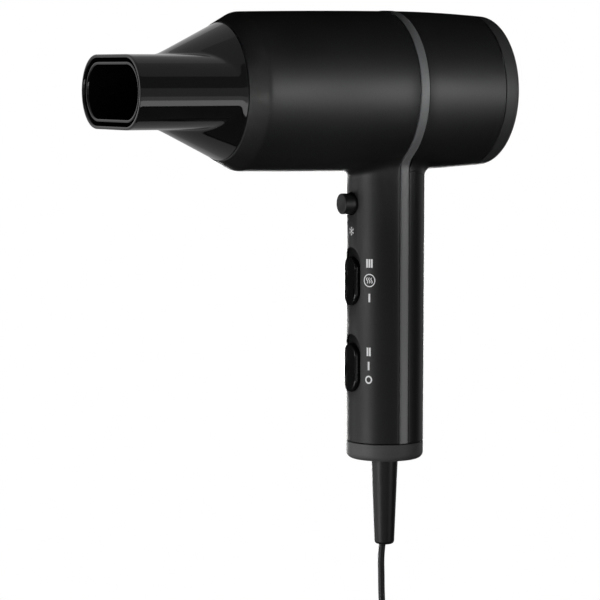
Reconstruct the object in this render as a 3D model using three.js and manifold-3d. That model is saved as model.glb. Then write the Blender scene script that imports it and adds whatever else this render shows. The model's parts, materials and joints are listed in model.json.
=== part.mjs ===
// Hair dryer with a concentrator nozzle, a straight round handle and a mains cord.
// Millimetres, +Z up. The barrel lies along X with its outlet towards -X and its intake towards +X.
// The origin is the middle of the grip, on the handle's axis.
import * as THREE from "three";
import { mergeVertices } from "three/addons/utils/BufferGeometryUtils.js";
import Module from "manifold-3d";

const wasm = await Module();
wasm.setup();

// ---------------------------------------------------------------- driving dimensions
const WALL = 2.2; // housing wall
const SEAM = 0.3; // gap at every parting line
const FIT = 0.4; // clearance round a fitted inner piece
const RUNNING = 0.25; // radial clearance round the shaft

const GRIP_TOP = 73; // from the middle of the grip up to the barrel's underside
const BARREL_R = 42; // outer radius at the trim band, its widest place
const BARREL_FRONT = 88.8; // from the handle's axis to the front shoulder
const BARREL_REAR = 50.3; // from the handle's axis to the rear cap's seam
const FRONT_NARROWING = 1.0; // how much smaller the radius is at the shoulder
const REAR_NARROWING = 1.8; // how much smaller the radius is at the rear seam
const SHOULDER_LENGTH = 9.4; // cone from the shoulder to the mouth
const SHOULDER_DROP = 5.2; // radius lost along that cone
const REAR_CAP_LENGTH = 9.2;
const REAR_CAP_EDGE = 3; // rounding of its outer edge
const CAP_RIM = 8.2; // flat rim round the intake grille, with the edge
const CAP_WALL = 2;
const SKIRT_WALL = 1.6; // the cap's skirt slides inside the rear shell
const SKIRT_DEPTH = 3.4;
const BAND_WIDTH = 5.1; // trim band between the front and rear shells
const BAND_PROUD = 0.25; // how far the band stands over the shells
const FILLET_R = 4.2; // between the barrel and the handle
const SEAM_ARC = 4.5; // the rear shell reaches this far below the barrel, down the handle

const HANDLE_BASE_R = 20.5;
const HANDLE_TAPER = 0.35; // how much wider the handle is where it enters the barrel
const BASE_Z = -71; // seam of the base cap
const BASE_HEIGHT = 9.4;
const BASE_EDGE = 3.5; // rounding of its lower edge
const BASE_LIP = 5; // the base cap's lip stands this far up inside the handle
const BASE_LIP_WALL = 1.6;

const SPIGOT_DEPTH = 10; // how far the nozzle collar sits in the mouth
const COLLAR_WALL = 1.8;
const OUTLET_RING_WALL = 1.5;
const OUTLET_HUB_R = 4.8;
const NOZZLE_LENGTH = 60.5; // from the mouth to the nozzle's tip
const NOZZLE_SLOPE = 0.488; // radius lost per millimetre along the cone
const TIP_HALF_WIDTH = 36.8; // the flattened outlet, across
const TIP_HALF_HEIGHT = 18.9; // and up
const ROOT_INSET = 0.5; // the flattened tube is this much narrower than the mouth where it meets it
const NOZZLE_WALL = 1.7;
const DUCT_GAP = 2.0; // air gap between the outer shell and the inner duct
const DUCT_WALL = 1.5;
const DUCT_RECESS = 0.8; // the duct's rim sits this far inside the tip

const KNOB_WIDTH = 12.6; // the two sliding switches
const KNOB_LENGTH = 25.6;
const KNOB_PROUD = 1.8;
const KNOB_SADDLE = 0.8; // depth of the thumb hollow
const KNOB_TRAVEL = 4.8; // two steps up from the lowest position
const KNOB_SIDE_GAP = 1; // between a knob and each side of its slot
const KNOB_END_GAP = 0.2; // and each end, at the ends of its travel
const SLOT_WALL = 0.7; // the front wall is this thin round the slots, over a shallow pocket
const FLANGE = 1.1; // thickness of the plate behind each slot
const FLANGE_LAP = 1.6; // how far that plate reaches past the slot
const SPEED_Z = -31.1; // middle of each knob when it is at the bottom of its slot
const HEAT_Z = 14.9;
const COOL_Z = 55.8;
const COOL_R = 5.45;
const COOL_GAP = 0.65; // round the cool button
const COOL_PROUD = 5.9;
const COOL_TRAVEL = 3;

const CORD_D = 5.6; // width of the flat twin cord
const CORD_FIT = 0.35; // round the cord in the boot's bore
const BOOT_WALL = 0.95; // at the boot's end, where it is thinnest
const BOOT_TAPER = 1.9; // how much wider its top is
const BOOT_LENGTH = 46.5; // below the base cap
const BORE_SHIFT = -1.2; // the cord's bore is a little in front of the boot's axis

const FINE = 40; // sides of the barrel
const ROUND = 28; // sides of the handle
const COARSE = 16;

// ---------------------------------------------------------------- derived places
const BARREL_Z = GRIP_TOP + BARREL_R; // height of the barrel's axis
const MOUTH_X = -(BARREL_FRONT + SHOULDER_LENGTH);
const SHOULDER_R = BARREL_R - FRONT_NARROWING;
const REAR_R = BARREL_R - REAR_NARROWING;
const REAR_X = BARREL_REAR + REAR_CAP_LENGTH;
const TIP_X = MOUTH_X - NOZZLE_LENGTH;
const HALF_BAND = BAND_WIDTH / 2;
const MOUTH_R = SHOULDER_R - SHOULDER_DROP;
const CAP_OPENING_R = REAR_R - CAP_RIM;
const SKIRT_R = REAR_R - WALL - 2.5 * FIT;
const HANDLE_TOP_Z = BARREL_Z - BARREL_R / 2;
const HANDLE_TOP_R = HANDLE_BASE_R + HANDLE_TAPER;
const HANDLE_INNER_R = HANDLE_BASE_R - WALL;
const BASE_BOTTOM = BASE_Z - BASE_HEIGHT;
const BASE_LIP_R = HANDLE_INNER_R - FIT;
const BASE_FLOOR = BASE_BOTTOM + WALL;
const MOUTH_INNER_R = MOUTH_R - WALL;
const MOUTH_STEP = MOUTH_X + SPIGOT_DEPTH + 3 * FIT; // the bore of the mouth ends here
const SLOT_WIDTH = KNOB_WIDTH + 2 * KNOB_SIDE_GAP;
const SLOT_LENGTH = KNOB_LENGTH + KNOB_TRAVEL + 2 * KNOB_END_GAP;
const SLOT_RISE = (KNOB_TRAVEL + 2 * KNOB_END_GAP) / 2 - KNOB_END_GAP; // its middle over the lowest knob's
const PLATE_HALF = KNOB_LENGTH / 2 + KNOB_TRAVEL + FLANGE_LAP; // half the sliding plate's length
const PLATE_SIDE = SLOT_WIDTH / 2 + FLANGE_LAP;
const BORE_R = CORD_D / 2 + CORD_FIT;
const BOOT_END_R = BORE_R + Math.abs(BORE_SHIFT) + BOOT_WALL;
const BOOT_TOP_R = BOOT_END_R + BOOT_TAPER;

// ---------------------------------------------------------------- making and joining solids
function solid(geometry) {
  const bare = new THREE.BufferGeometry();
  bare.setAttribute("position", geometry.getAttribute("position").clone());
  if (geometry.index) bare.setIndex(geometry.index);
  const merged = mergeVertices(bare, 1e-4);
  const index = merged.index.array;
  const kept = [];
  for (let i = 0; i < index.length; i += 3) {
    const [a, b, c] = [index[i], index[i + 1], index[i + 2]];
    if (a !== b && b !== c && a !== c) kept.push(a, b, c);
  }
  const build = (triangles) => new wasm.Manifold(new wasm.Mesh({
    numProp: 3,
    vertProperties: merged.attributes.position.array,
    triVerts: new Uint32Array(triangles),
  }));
  const made = build(kept);
  return made.volume() > 0 ? made : build(kept.reverse());
}

function geometryOf(body) {
  const mesh = body.getMesh();
  const geometry = new THREE.BufferGeometry();
  geometry.setAttribute("position", new THREE.BufferAttribute(new Float32Array(mesh.vertProperties), 3));
  geometry.setIndex(new THREE.BufferAttribute(new Uint32Array(mesh.triVerts), 1));
  geometry.computeVertexNormals();
  return geometry;
}

const join = (...bodies) => bodies.reduce((all, body) => all.add(body));
const cut = (body, ...tools) => tools.reduce((left, tool) => left.subtract(tool), body);

function box(x0, x1, y0, y1, z0, z1) {
  const geometry = new THREE.BoxGeometry(x1 - x0, y1 - y0, z1 - z0);
  geometry.translate((x0 + x1) / 2, (y0 + y1) / 2, (z0 + z1) / 2);
  return solid(geometry);
}

// Turns a closed outline of [radius, x] points about the barrel's axis.
function turnedX(outline, sides = FINE) {
  const points = [...outline, outline[0]].map(([radius, x]) => new THREE.Vector2(radius, x));
  const geometry = new THREE.LatheGeometry(points, sides);
  geometry.rotateZ(-Math.PI / 2);
  geometry.translate(0, 0, BARREL_Z);
  return solid(geometry);
}

// Turns a closed outline of [radius, z] points about an upright axis through (x, y).
function turnedZ(outline, sides = ROUND, x = 0, y = 0) {
  const points = [...outline, outline[0]].map(([radius, z]) => new THREE.Vector2(radius, z));
  const geometry = new THREE.LatheGeometry(points, sides);
  geometry.rotateX(Math.PI / 2);
  geometry.translate(x, y, 0);
  return solid(geometry);
}

const discX = (radius, x0, x1, sides = FINE) =>
  turnedX([[0, x0], [radius, x0], [radius, x1], [0, x1]], sides);
const ringX = (inner, outer, x0, x1, sides = FINE) =>
  turnedX([[inner, x0], [outer, x0], [outer, x1], [inner, x1]], sides);
const discZ = (radius, z0, z1, sides = ROUND, x = 0, y = 0) =>
  turnedZ([[0, z0], [radius, z0], [radius, z1], [0, z1]], sides, x, y);
const ringZ = (inner, outer, z0, z1, sides = ROUND, x = 0, y = 0) =>
  turnedZ([[inner, z0], [outer, z0], [outer, z1], [inner, z1]], sides, x, y);

// A round bar along X at any place.
function rodX(radius, x0, x1, y, z, sides = COARSE) {
  const geometry = new THREE.CylinderGeometry(radius, radius, x1 - x0, sides);
  geometry.rotateZ(-Math.PI / 2);
  geometry.translate((x0 + x1) / 2, y, z);
  return solid(geometry);
}

// Extrudes a shape drawn in (y, z) along X.
const ALONG_X = new THREE.Matrix4().makeBasis(
  new THREE.Vector3(0, 1, 0), new THREE.Vector3(0, 0, 1), new THREE.Vector3(1, 0, 0));
function extrudedX(shape, x0, x1, z = 0, curveSegments = 12) {
  const geometry = new THREE.ExtrudeGeometry(shape, { depth: x1 - x0, bevelEnabled: false, curveSegments });
  geometry.applyMatrix4(ALONG_X);
  geometry.translate(x0, 0, z);
  return geometry;
}

// A flattened round: two half circles joined by straight lines, its long way along the first axis.
function stadium(halfLong, halfShort) {
  const flat = halfLong - halfShort;
  const shape = new THREE.Shape();
  shape.moveTo(-flat, -halfShort);
  shape.lineTo(flat, -halfShort);
  shape.absarc(flat, 0, halfShort, -Math.PI / 2, Math.PI / 2, false);
  shape.lineTo(-flat, halfShort);
  shape.absarc(-flat, 0, halfShort, Math.PI / 2, Math.PI * 1.5, false);
  return shape;
}

// ---------------------------------------------------------------- housing shells
// The barrel's radius bulges gently towards the trim band.
function barrelRadius(x) {
  return x < 0
    ? BARREL_R - FRONT_NARROWING * (x / BARREL_FRONT) ** 2
    : BARREL_R - REAR_NARROWING * (x / BARREL_REAR) ** 2;
}

function handleRadius(z) {
  const t = (z - BASE_Z) / (HANDLE_TOP_Z - BASE_Z);
  return HANDLE_BASE_R + (HANDLE_TOP_R - HANDLE_BASE_R) * t;
}

// The barrel's side from x0 to x1, offset outwards.
function barrelSide(x0, x1, offset, steps = 6) {
  return Array.from({ length: steps + 1 }, (_, i) => {
    const x = x0 + ((x1 - x0) * i) / steps;
    return [barrelRadius(x) + offset, x];
  });
}

// The barrel meets the handle in a fillet that follows the barrel's underside.
function neck(offset) {
  const radius = handleRadius(BARREL_Z - BARREL_R) + offset;
  const outline = [[0, -FILLET_R - 2], [radius, -FILLET_R - 2]];
  for (let i = 0; i <= 4; i++) {
    const turn = (Math.PI / 2) * (i / 4);
    outline.push([radius + FILLET_R * (1 - Math.cos(turn)), FILLET_R * (Math.sin(turn) - 1)]);
  }
  outline.push([radius + FILLET_R, 1.5], [0, 1.5]);
  const points = [...outline, outline[0]].map(([r, z]) => new THREE.Vector2(r, z));
  const geometry = new THREE.LatheGeometry(points, ROUND);
  geometry.rotateX(Math.PI / 2);
  const place = geometry.getAttribute("position");
  const barrel = BARREL_R + offset;
  for (let i = 0; i < place.count; i++) {
    const underside = BARREL_Z - Math.sqrt(barrel ** 2 - place.getY(i) ** 2);
    place.setZ(i, place.getZ(i) + underside);
  }
  return solid(geometry);
}

function outerForm(offset = 0) {
  const shoulder = [
    [MOUTH_R + offset, MOUTH_X],
    [SHOULDER_R - 0.9 + offset, -BARREL_FRONT - 1.6],
    [SHOULDER_R - 0.25 + offset, -BARREL_FRONT - 0.3],
  ];
  const barrel = turnedX([
    [0, MOUTH_X], ...shoulder,
    ...barrelSide(-BARREL_FRONT + 1.8, 0, offset, 2),
    ...barrelSide(0, BARREL_REAR - SEAM / 2, offset, 3).slice(1),
    [0, BARREL_REAR - SEAM / 2],
  ]);
  const handle = turnedZ([
    [0, BASE_Z + SEAM / 2], [HANDLE_BASE_R + offset, BASE_Z + SEAM / 2],
    [HANDLE_TOP_R + offset, HANDLE_TOP_Z], [0, HANDLE_TOP_Z],
  ]);
  return join(barrel, handle, neck(offset));
}

function innerForm() {
  const barrel = turnedX([
    [0, MOUTH_X - 1], [MOUTH_INNER_R, MOUTH_X - 1], [MOUTH_INNER_R, MOUTH_STEP],
    ...barrelSide(MOUTH_STEP, 0, -WALL, 2),
    ...barrelSide(0, BARREL_REAR + 1, -WALL, 3).slice(1),
    [0, BARREL_REAR + 1],
  ]);
  const handle = turnedZ([
    [0, BASE_Z - 1], [HANDLE_INNER_R, BASE_Z - 1],
    [HANDLE_TOP_R - WALL, HANDLE_TOP_Z], [0, HANDLE_TOP_Z],
  ]);
  return join(barrel, handle);
}

const BIG = 200;
const cavity = innerForm();
const shell = cut(outerForm(), cavity);

// A slot through the front wall for a sliding knob, round at both ends.
function knobPrism(width, length, middle, x0, x1) {
  const prism = extrudedX(stadium(length / 2, width / 2), x0, x1, 0, 6);
  prism.rotateX(Math.PI / 2);
  prism.translate(0, 0, middle);
  return solid(prism);
}

const CUT_OUTSIDE = -HANDLE_TOP_R - 5; // cuts through the front wall run from here
const CUT_INSIDE = -HANDLE_INNER_R / 2; // to here
const knobSlot = (knobZ) => knobPrism(SLOT_WIDTH, SLOT_LENGTH, knobZ + SLOT_RISE, CUT_OUTSIDE, CUT_INSIDE);

// The sliding plate runs in a shallow pocket on the inside of the wall.
function platePocket(knobZ) {
  const side = PLATE_SIDE + 3 * FIT;
  const bottom = knobZ - PLATE_HALF - 2 * SEAM;
  const top = knobZ + PLATE_HALF + KNOB_TRAVEL + 2 * SEAM;
  return ringZ(HANDLE_INNER_R - 1, HANDLE_BASE_R - SLOT_WALL, bottom, top)
    .intersect(box(-BIG, 0, -side, side, -BIG, BIG));
}

function frontHousing() {
  const half = shell.intersect(box(-BIG, -HALF_BAND - SEAM, -BIG, BIG, -BIG, BIG));
  const button = rodX(COOL_R + COOL_GAP, CUT_OUTSIDE, CUT_INSIDE, 0, COOL_Z);
  return cut(
    half, knobSlot(SPEED_Z), knobSlot(HEAT_Z), platePocket(SPEED_Z), platePocket(HEAT_Z), button);
}

const rearHalf = shell.intersect(box(HALF_BAND + SEAM, BIG, -BIG, BIG, -BIG, BIG));
const rearHousing = () => rearHalf.intersect(discX(BARREL_R + SEAM_ARC, -1, BIG));
const handleBackCover = () => cut(rearHalf, discX(BARREL_R + SEAM_ARC + SEAM, -1, BIG));

function trimBand() {
  const proud = cut(outerForm(BAND_PROUD), cavity);
  return proud.intersect(box(-HALF_BAND, HALF_BAND, -BIG, BIG, -BIG, BIG));
}

function baseCap() {
  const radius = HANDLE_BASE_R;
  const top = BASE_Z - SEAM / 2;
  const lipInner = BASE_LIP_R - BASE_LIP_WALL;
  const lipTop = BASE_Z + BASE_LIP;
  const hole = BOOT_END_R + SEAM;
  const outline = [[hole, BASE_BOTTOM]];
  for (let i = 0; i <= 3; i++) {
    const turn = (Math.PI / 2) * (i / 3);
    outline.push([
      radius - BASE_EDGE + BASE_EDGE * Math.sin(turn),
      BASE_BOTTOM + BASE_EDGE * (1 - Math.cos(turn)),
    ]);
  }
  outline.push(
    [radius, top], [BASE_LIP_R, top], [BASE_LIP_R, lipTop], [lipInner, lipTop],
    [lipInner, BASE_FLOOR], [hole, BASE_FLOOR]);
  return turnedZ(outline);
}

// ---------------------------------------------------------------- rear cap and intake
// A flat round grille: rings joined by spokes, about the barrel's axis.
function grille(outer, hub, rings, spokes, bar, x0, x1, sides = ROUND) {
  const pitch = (outer - hub) / rings;
  const parts = [discX(hub, x0, x1, COARSE)];
  for (let i = 1; i <= rings; i++) {
    const radius = hub + pitch * i;
    parts.push(ringX(radius - bar, radius, x0, x1, i === rings ? sides : sides / 2));
  }
  for (let i = 0; i < spokes; i++) {
    const geometry = new THREE.BoxGeometry(x1 - x0, outer - bar / 2, bar);
    geometry.translate((x0 + x1) / 2, (outer - bar / 2) / 2, 0);
    geometry.rotateX((2 * Math.PI * i) / spokes);
    geometry.translate(0, 0, BARREL_Z);
    parts.push(solid(geometry));
  }
  return join(...parts);
}

function rearCap() {
  const x0 = BARREL_REAR + SEAM / 2;
  const slope = (-2 * REAR_NARROWING) / BARREL_REAR;
  const edgeX = REAR_X - REAR_CAP_EDGE;
  const edgeR = REAR_R + slope * (edgeX - BARREL_REAR);
  const outline = [[REAR_R, x0]];
  for (let i = 0; i <= 3; i++) {
    const turn = (Math.PI / 2) * (i / 3);
    outline.push([
      edgeR - REAR_CAP_EDGE + REAR_CAP_EDGE * Math.cos(turn),
      edgeX + REAR_CAP_EDGE * Math.sin(turn),
    ]);
  }
  const skirtInner = SKIRT_R - SKIRT_WALL;
  const inside = REAR_X - CAP_WALL;
  outline.push(
    [CAP_OPENING_R - 1, REAR_X], [CAP_OPENING_R - 1, inside],
    [skirtInner, inside], [skirtInner, x0 - SKIRT_DEPTH],
    [SKIRT_R, x0 - SKIRT_DEPTH], [SKIRT_R, x0]);
  const grid = grille(CAP_OPENING_R, 7, 3, 6, 1.8, inside - 0.2, REAR_X - 0.6);
  return join(turnedX(outline), grid);
}

function intakeFilter() {
  const front = REAR_X - CAP_WALL - 2.5 * FIT;
  return grille(SKIRT_R - SKIRT_WALL - FIT, 6, 2, 4, 1.4, front - 1.4, front);
}

// ---------------------------------------------------------------- outlet and nozzle
const COLLAR_OUTER_R = MOUTH_INNER_R - FIT - 0.15;
const OUTLET_RING_R = COLLAR_OUTER_R - COLLAR_WALL - 1.5 * FIT;
const OUTLET_INNER_R = OUTLET_RING_R - OUTLET_RING_WALL;

function outletRing() {
  const front = MOUTH_X + 0.6;
  const flangeFront = MOUTH_STEP + FIT;
  const back = MOUTH_STEP + 2;
  const flange = barrelRadius(MOUTH_STEP) - WALL - FIT;
  return turnedX([
    [OUTLET_INNER_R, front], [OUTLET_RING_R, front], [OUTLET_RING_R, flangeFront],
    [flange, flangeFront], [flange, back], [OUTLET_INNER_R, back],
  ], ROUND);
}

const EMITTER_R = 2.6;

const outletGrille = () => cut(
  grille(OUTLET_INNER_R - SEAM, OUTLET_HUB_R, 2, 6, 1.2, MOUTH_X + 1.6, MOUTH_X + 3.6),
  discX(EMITTER_R + FIT, MOUTH_X, MOUTH_X + 6, 16));

const ionEmitter = () => turnedX([
  [0, MOUTH_X + 0.4], [0.5, MOUTH_X + 0.8], [EMITTER_R, MOUTH_X + 3],
  [EMITTER_R, MOUTH_X + 10], [0, MOUTH_X + 10],
], 16);

const NOZZLE_ROOT_R = MOUTH_R - 0.2;

// The nozzle's form: a cone round the mouth that runs into a flattened tube. inset shrinks every side.
function nozzleForm(inset, x0, x1) {
  const root = NOZZLE_ROOT_R - inset;
  const radiusAt = (x) => Math.max(root - (MOUTH_X - x) * NOZZLE_SLOPE, 4);
  const end = MOUTH_X - (MOUTH_R - TIP_HALF_HEIGHT + 1.5) / NOZZLE_SLOPE;
  const from = Math.max(x0, end);
  const cone = turnedX([[0, from], [radiusAt(from), from], [radiusAt(x1), x1], [0, x1]]);
  const tube = extrudedX(stadium(1, 0.5), x0, x1, BARREL_Z, 9);
  const place = tube.getAttribute("position");
  const halfHeight = TIP_HALF_HEIGHT - inset;
  const rootHalfWidth = MOUTH_R - ROOT_INSET;
  for (let i = 0; i < place.count; i++) {
    const x = place.getX(i);
    const t = (MOUTH_X - x) / NOZZLE_LENGTH;
    const halfWidth = rootHalfWidth + (TIP_HALF_WIDTH - rootHalfWidth) * t - inset;
    // The unit stadium reaches 1 along y and 0.5 along z: its half circles keep their shape as it grows.
    const y = place.getY(i);
    const flat = (halfWidth - halfHeight) * Math.min(2 * Math.abs(y), 1);
    const round = 2 * halfHeight * Math.max(Math.abs(y) - 0.5, 0);
    place.setY(i, Math.sign(y) * (flat + round));
    place.setZ(i, BARREL_Z + (place.getZ(i) - BARREL_Z) * 2 * halfHeight);
  }
  return join(cone, solid(tube));
}

function nozzleShell() {
  const root = MOUTH_X - SEAM;
  return cut(nozzleForm(0, TIP_X, root), nozzleForm(NOZZLE_WALL, TIP_X - 1, root + 1));
}

function nozzleDuct() {
  const inset = NOZZLE_WALL + DUCT_GAP;
  const root = MOUTH_X - 1.9;
  const tip = TIP_X + DUCT_RECESS;
  return cut(nozzleForm(inset, tip, root), nozzleForm(inset + DUCT_WALL, tip - 1, root + 1));
}

// The collar turns in the mouth. Its front edge reaches out to the nozzle's shell, which snaps onto it.
function nozzleCollar() {
  const inner = COLLAR_OUTER_R - COLLAR_WALL;
  const front = MOUTH_X - 1;
  const back = MOUTH_X + SPIGOT_DEPTH;
  const flange = NOZZLE_ROOT_R - NOZZLE_WALL - NOZZLE_SLOPE - SEAM;
  return turnedX([
    [inner, front], [flange, front], [flange, MOUTH_X - FIT], [COLLAR_OUTER_R, MOUTH_X - FIT],
    [COLLAR_OUTER_R, back], [inner, back],
  ]);
}

// ---------------------------------------------------------------- fan and motor
// They are placed forwards from the rear cap's skirt.
const SHAFT_R = 1.15;
const CAN_R = 14.5;
const CAN_LENGTH = 32;
const CAN_WALL = 1.4;
const CAN_END = 2.1; // thickness of the can's ends
const BEARING_R = 3.4;
const BEARING_LENGTH = 4;
const BEARING_PROUD = 0.8;
const SHROUD_WALL = 1.4;
const SHROUD_GAP = 1.5; // between the fan duct and the rear shell
const VANES = 7;
const BLADES = 9;
const BLADE_GAP = 1.1; // between the blades' tips and the duct
const HUB_R = 14;
const IMPELLER_LENGTH = 15;
const SHROUD_X1 = BARREL_REAR - SKIRT_DEPTH - 3.9;
const SHROUD_R = barrelRadius(SHROUD_X1) - WALL - SHROUD_GAP - SHROUD_WALL; // inner radius of the fan duct
const BLADE_R = SHROUD_R - BLADE_GAP;
const IMPELLER_X1 = SHROUD_X1 - 4;
const IMPELLER_X0 = IMPELLER_X1 - IMPELLER_LENGTH;
const CAN_X1 = IMPELLER_X0 - 6;
const CAN_X0 = CAN_X1 - CAN_LENGTH;
const SHROUD_X0 = CAN_X1 - 15;

// A flat blade that stands out from the axis, turned by pitch about its own length.
function blade(inner, outer, chord, thick, pitch, x, turn) {
  const geometry = new THREE.BoxGeometry(chord, thick, outer - inner);
  geometry.rotateZ(pitch);
  geometry.translate(x, 0, (inner + outer) / 2);
  geometry.rotateX(turn);
  geometry.translate(0, 0, BARREL_Z);
  return solid(geometry);
}

function fanShroud() {
  const sleeve = ringX(CAN_R + SEAM, CAN_R + SEAM + 1.6, SHROUD_X0, CAN_X1, COARSE);
  const duct = ringX(SHROUD_R, SHROUD_R + SHROUD_WALL, SHROUD_X0, SHROUD_X1, ROUND);
  const vanes = Array.from({ length: VANES }, (_, i) =>
    blade(CAN_R + 1.1, SHROUD_R + 0.7, 12, 1.5, 0.45, SHROUD_X0 + 7, (2 * Math.PI * i) / VANES));
  return join(sleeve, duct, ...vanes);
}

function impeller() {
  const hub = turnedX([
    [SHAFT_R + RUNNING, IMPELLER_X0 + 5], [SHAFT_R + 3.4, IMPELLER_X0 + 5], [SHAFT_R + 3.4, IMPELLER_X1 - 3.4],
    [HUB_R - 1.6, IMPELLER_X1 - 3.4], [HUB_R - 1.6, IMPELLER_X0], [HUB_R, IMPELLER_X0],
    [HUB_R, IMPELLER_X1 - 3], [HUB_R - 3, IMPELLER_X1 - 0.4], [SHAFT_R + RUNNING, IMPELLER_X1],
  ], COARSE);
  const middle = (IMPELLER_X0 + IMPELLER_X1) / 2 - 0.6;
  const blades = Array.from({ length: BLADES }, (_, i) =>
    blade(HUB_R - 0.7, BLADE_R, IMPELLER_LENGTH - 1.5, 1.4, -0.65, middle, (2 * Math.PI * i) / BLADES));
  return join(hub, ...blades);
}

function motorCan() {
  const hole = BEARING_R + SEAM;
  const inner = CAN_R - CAN_WALL;
  return turnedX([
    [hole, CAN_X0], [CAN_R, CAN_X0], [CAN_R, CAN_X1], [hole, CAN_X1],
    [hole, CAN_X1 - CAN_END], [inner, CAN_X1 - CAN_END],
    [inner, CAN_X0 + CAN_END], [hole, CAN_X0 + CAN_END],
  ], COARSE);
}

const bearing = (x0) => ringX(SHAFT_R + RUNNING, BEARING_R, x0, x0 + BEARING_LENGTH, 16);
const motorShaft = () => discX(SHAFT_R, CAN_X0 - 2, IMPELLER_X1 + 1.5, 16);
const motorArmature = () => ringX(
  SHAFT_R + RUNNING, CAN_R - CAN_WALL - 3.2, CAN_X0 + 7, CAN_X1 - 7, COARSE);

function motorMagnet(side) {
  const outer = CAN_R - CAN_WALL - SEAM;
  const ring = ringX(outer - 2.2, outer, CAN_X0 + 6, CAN_X1 - 6, COARSE);
  const span = side > 0 ? box(-BIG, BIG, 3, BIG, -BIG, BIG) : box(-BIG, BIG, -BIG, -3, -BIG, BIG);
  return ring.intersect(span);
}

// ---------------------------------------------------------------- heater
const BOARD_THICK = 0.8;
const HEATER_X0 = MOUTH_X + SPIGOT_DEPTH + 7;
const HEATER_X1 = CAN_X0 - 8;
const COIL_WIRE_R = 0.7;
const COIL_TURNS = 5;
const SLEEVE_WALL = 0.8;
const AIR_JACKET = 4.7; // between the sleeve and the front shell
const COIL_GAP = 5; // between the wire's middle and the sleeve
const SLEEVE_R = SHOULDER_R - WALL - AIR_JACKET - SLEEVE_WALL;
const COIL_R = SLEEVE_R - COIL_GAP;
const BOARD_HALF = COIL_R - COIL_WIRE_R - 0.6;

const heaterSleeve = () => ringX(SLEEVE_R, SLEEVE_R + SLEEVE_WALL, HEATER_X0 - 2, HEATER_X1 + 3, ROUND);

function micaBoards() {
  const half = BOARD_THICK / 2;
  const slot = half + SEAM;
  const middle = (HEATER_X0 + HEATER_X1) / 2;
  const z = BARREL_Z;
  const upright = cut(
    box(HEATER_X0, HEATER_X1, -half, half, z - BOARD_HALF, z + BOARD_HALF),
    box(HEATER_X0 - 1, middle, -1, 1, z - slot, z + slot));
  const level = cut(
    box(HEATER_X0, HEATER_X1, -BOARD_HALF, BOARD_HALF, z - half, z + half),
    box(middle - 0.6, HEATER_X1 + 1, -slot, slot, z - 1, z + 1));
  return { upright, level };
}

// A wire wound on the corners of the crossed boards.
class WireHelix extends THREE.Curve {
  constructor(x0, x1) {
    super();
    this.x0 = x0;
    this.x1 = x1;
  }
  getPoint(t, target = new THREE.Vector3()) {
    const turn = 2 * Math.PI * COIL_TURNS * t;
    return target.set(
      this.x0 + (this.x1 - this.x0) * t, COIL_R * Math.sin(turn), BARREL_Z + COIL_R * Math.cos(turn));
  }
}

function polygonShape(radius, sides) {
  const points = Array.from({ length: sides }, (_, i) => {
    const turn = (2 * Math.PI * i) / sides;
    return new THREE.Vector2(radius * Math.cos(turn), radius * Math.sin(turn));
  });
  return new THREE.Shape(points);
}

function tubeAlong(curve, radius, steps, sides) {
  const options = { steps, bevelEnabled: false, extrudePath: curve };
  return solid(new THREE.ExtrudeGeometry(polygonShape(radius, sides), options));
}

const heatingCoil = (x0, x1) => tubeAlong(new WireHelix(x0, x1), COIL_WIRE_R, COIL_TURNS * 8, 4);

function thermostat() {
  const y = BOARD_THICK / 2 + SEAM;
  return box(HEATER_X1 - 14, HEATER_X1 - 3, y, y + 6, BARREL_Z + 6, BARREL_Z + 15);
}

function thermalFuse() {
  const radius = 2;
  const y = -(BOARD_THICK / 2 + SEAM + radius);
  return rodX(radius, HEATER_X1 - 16, HEATER_X1 - 5, y, BARREL_Z + 10, 12);
}

// ---------------------------------------------------------------- handle internals
const BOARD_X = 0.4;
const PCB_THICK = 1.6;
const PCB_HALF_WIDTH = HANDLE_INNER_R - 4.8;
const PCB_Z0 = BASE_Z + 19;
const PCB_Z1 = GRIP_TOP - 1;
const SCREW_INSET = 4; // from the board's ends
const SWITCH_FRONT = 6.8 - HANDLE_INNER_R;
const SWITCH_HALF = 13.5;
const SWITCH_HALF_WIDTH = 7;
const LEVER_HALF_Y = 3;
const LEVER_HALF_Z = 2.5;
const LEVER_FIT = 0.35;

const circuitBoard = () => cut(
  box(BOARD_X, BOARD_X + PCB_THICK, -PCB_HALF_WIDTH, PCB_HALF_WIDTH, PCB_Z0, PCB_Z1),
  rodX(1.6, -BIG, BIG, 0, PCB_Z0 + SCREW_INSET, 12), rodX(1.6, -BIG, BIG, 0, PCB_Z1 - SCREW_INSET, 12));

function boardScrew(z) {
  const shank = rodX(1.3, BOARD_X - 6, BOARD_X + PCB_THICK + 1, 0, z, 12);
  return join(shank, rodX(2.6, BOARD_X + PCB_THICK + FIT, BOARD_X + PCB_THICK + 2.2, 0, z, 12));
}

function slideSwitch(z) {
  const middle = z + KNOB_TRAVEL / 2;
  const body = box(
    SWITCH_FRONT, BOARD_X - SEAM, -SWITCH_HALF_WIDTH, SWITCH_HALF_WIDTH,
    middle - SWITCH_HALF, middle + SWITCH_HALF);
  const halfY = LEVER_HALF_Y + LEVER_FIT;
  const halfZ = LEVER_HALF_Z + LEVER_FIT + KNOB_TRAVEL / 2;
  return cut(body, box(SWITCH_FRONT - 1, SWITCH_FRONT + 6, -halfY, halfY, middle - halfZ, middle + halfZ));
}

const switchLever = (z) => box(
  2.9 - HANDLE_INNER_R, SWITCH_FRONT + 5.5, -LEVER_HALF_Y, LEVER_HALF_Y, z - LEVER_HALF_Z, z + LEVER_HALF_Z);

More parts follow.
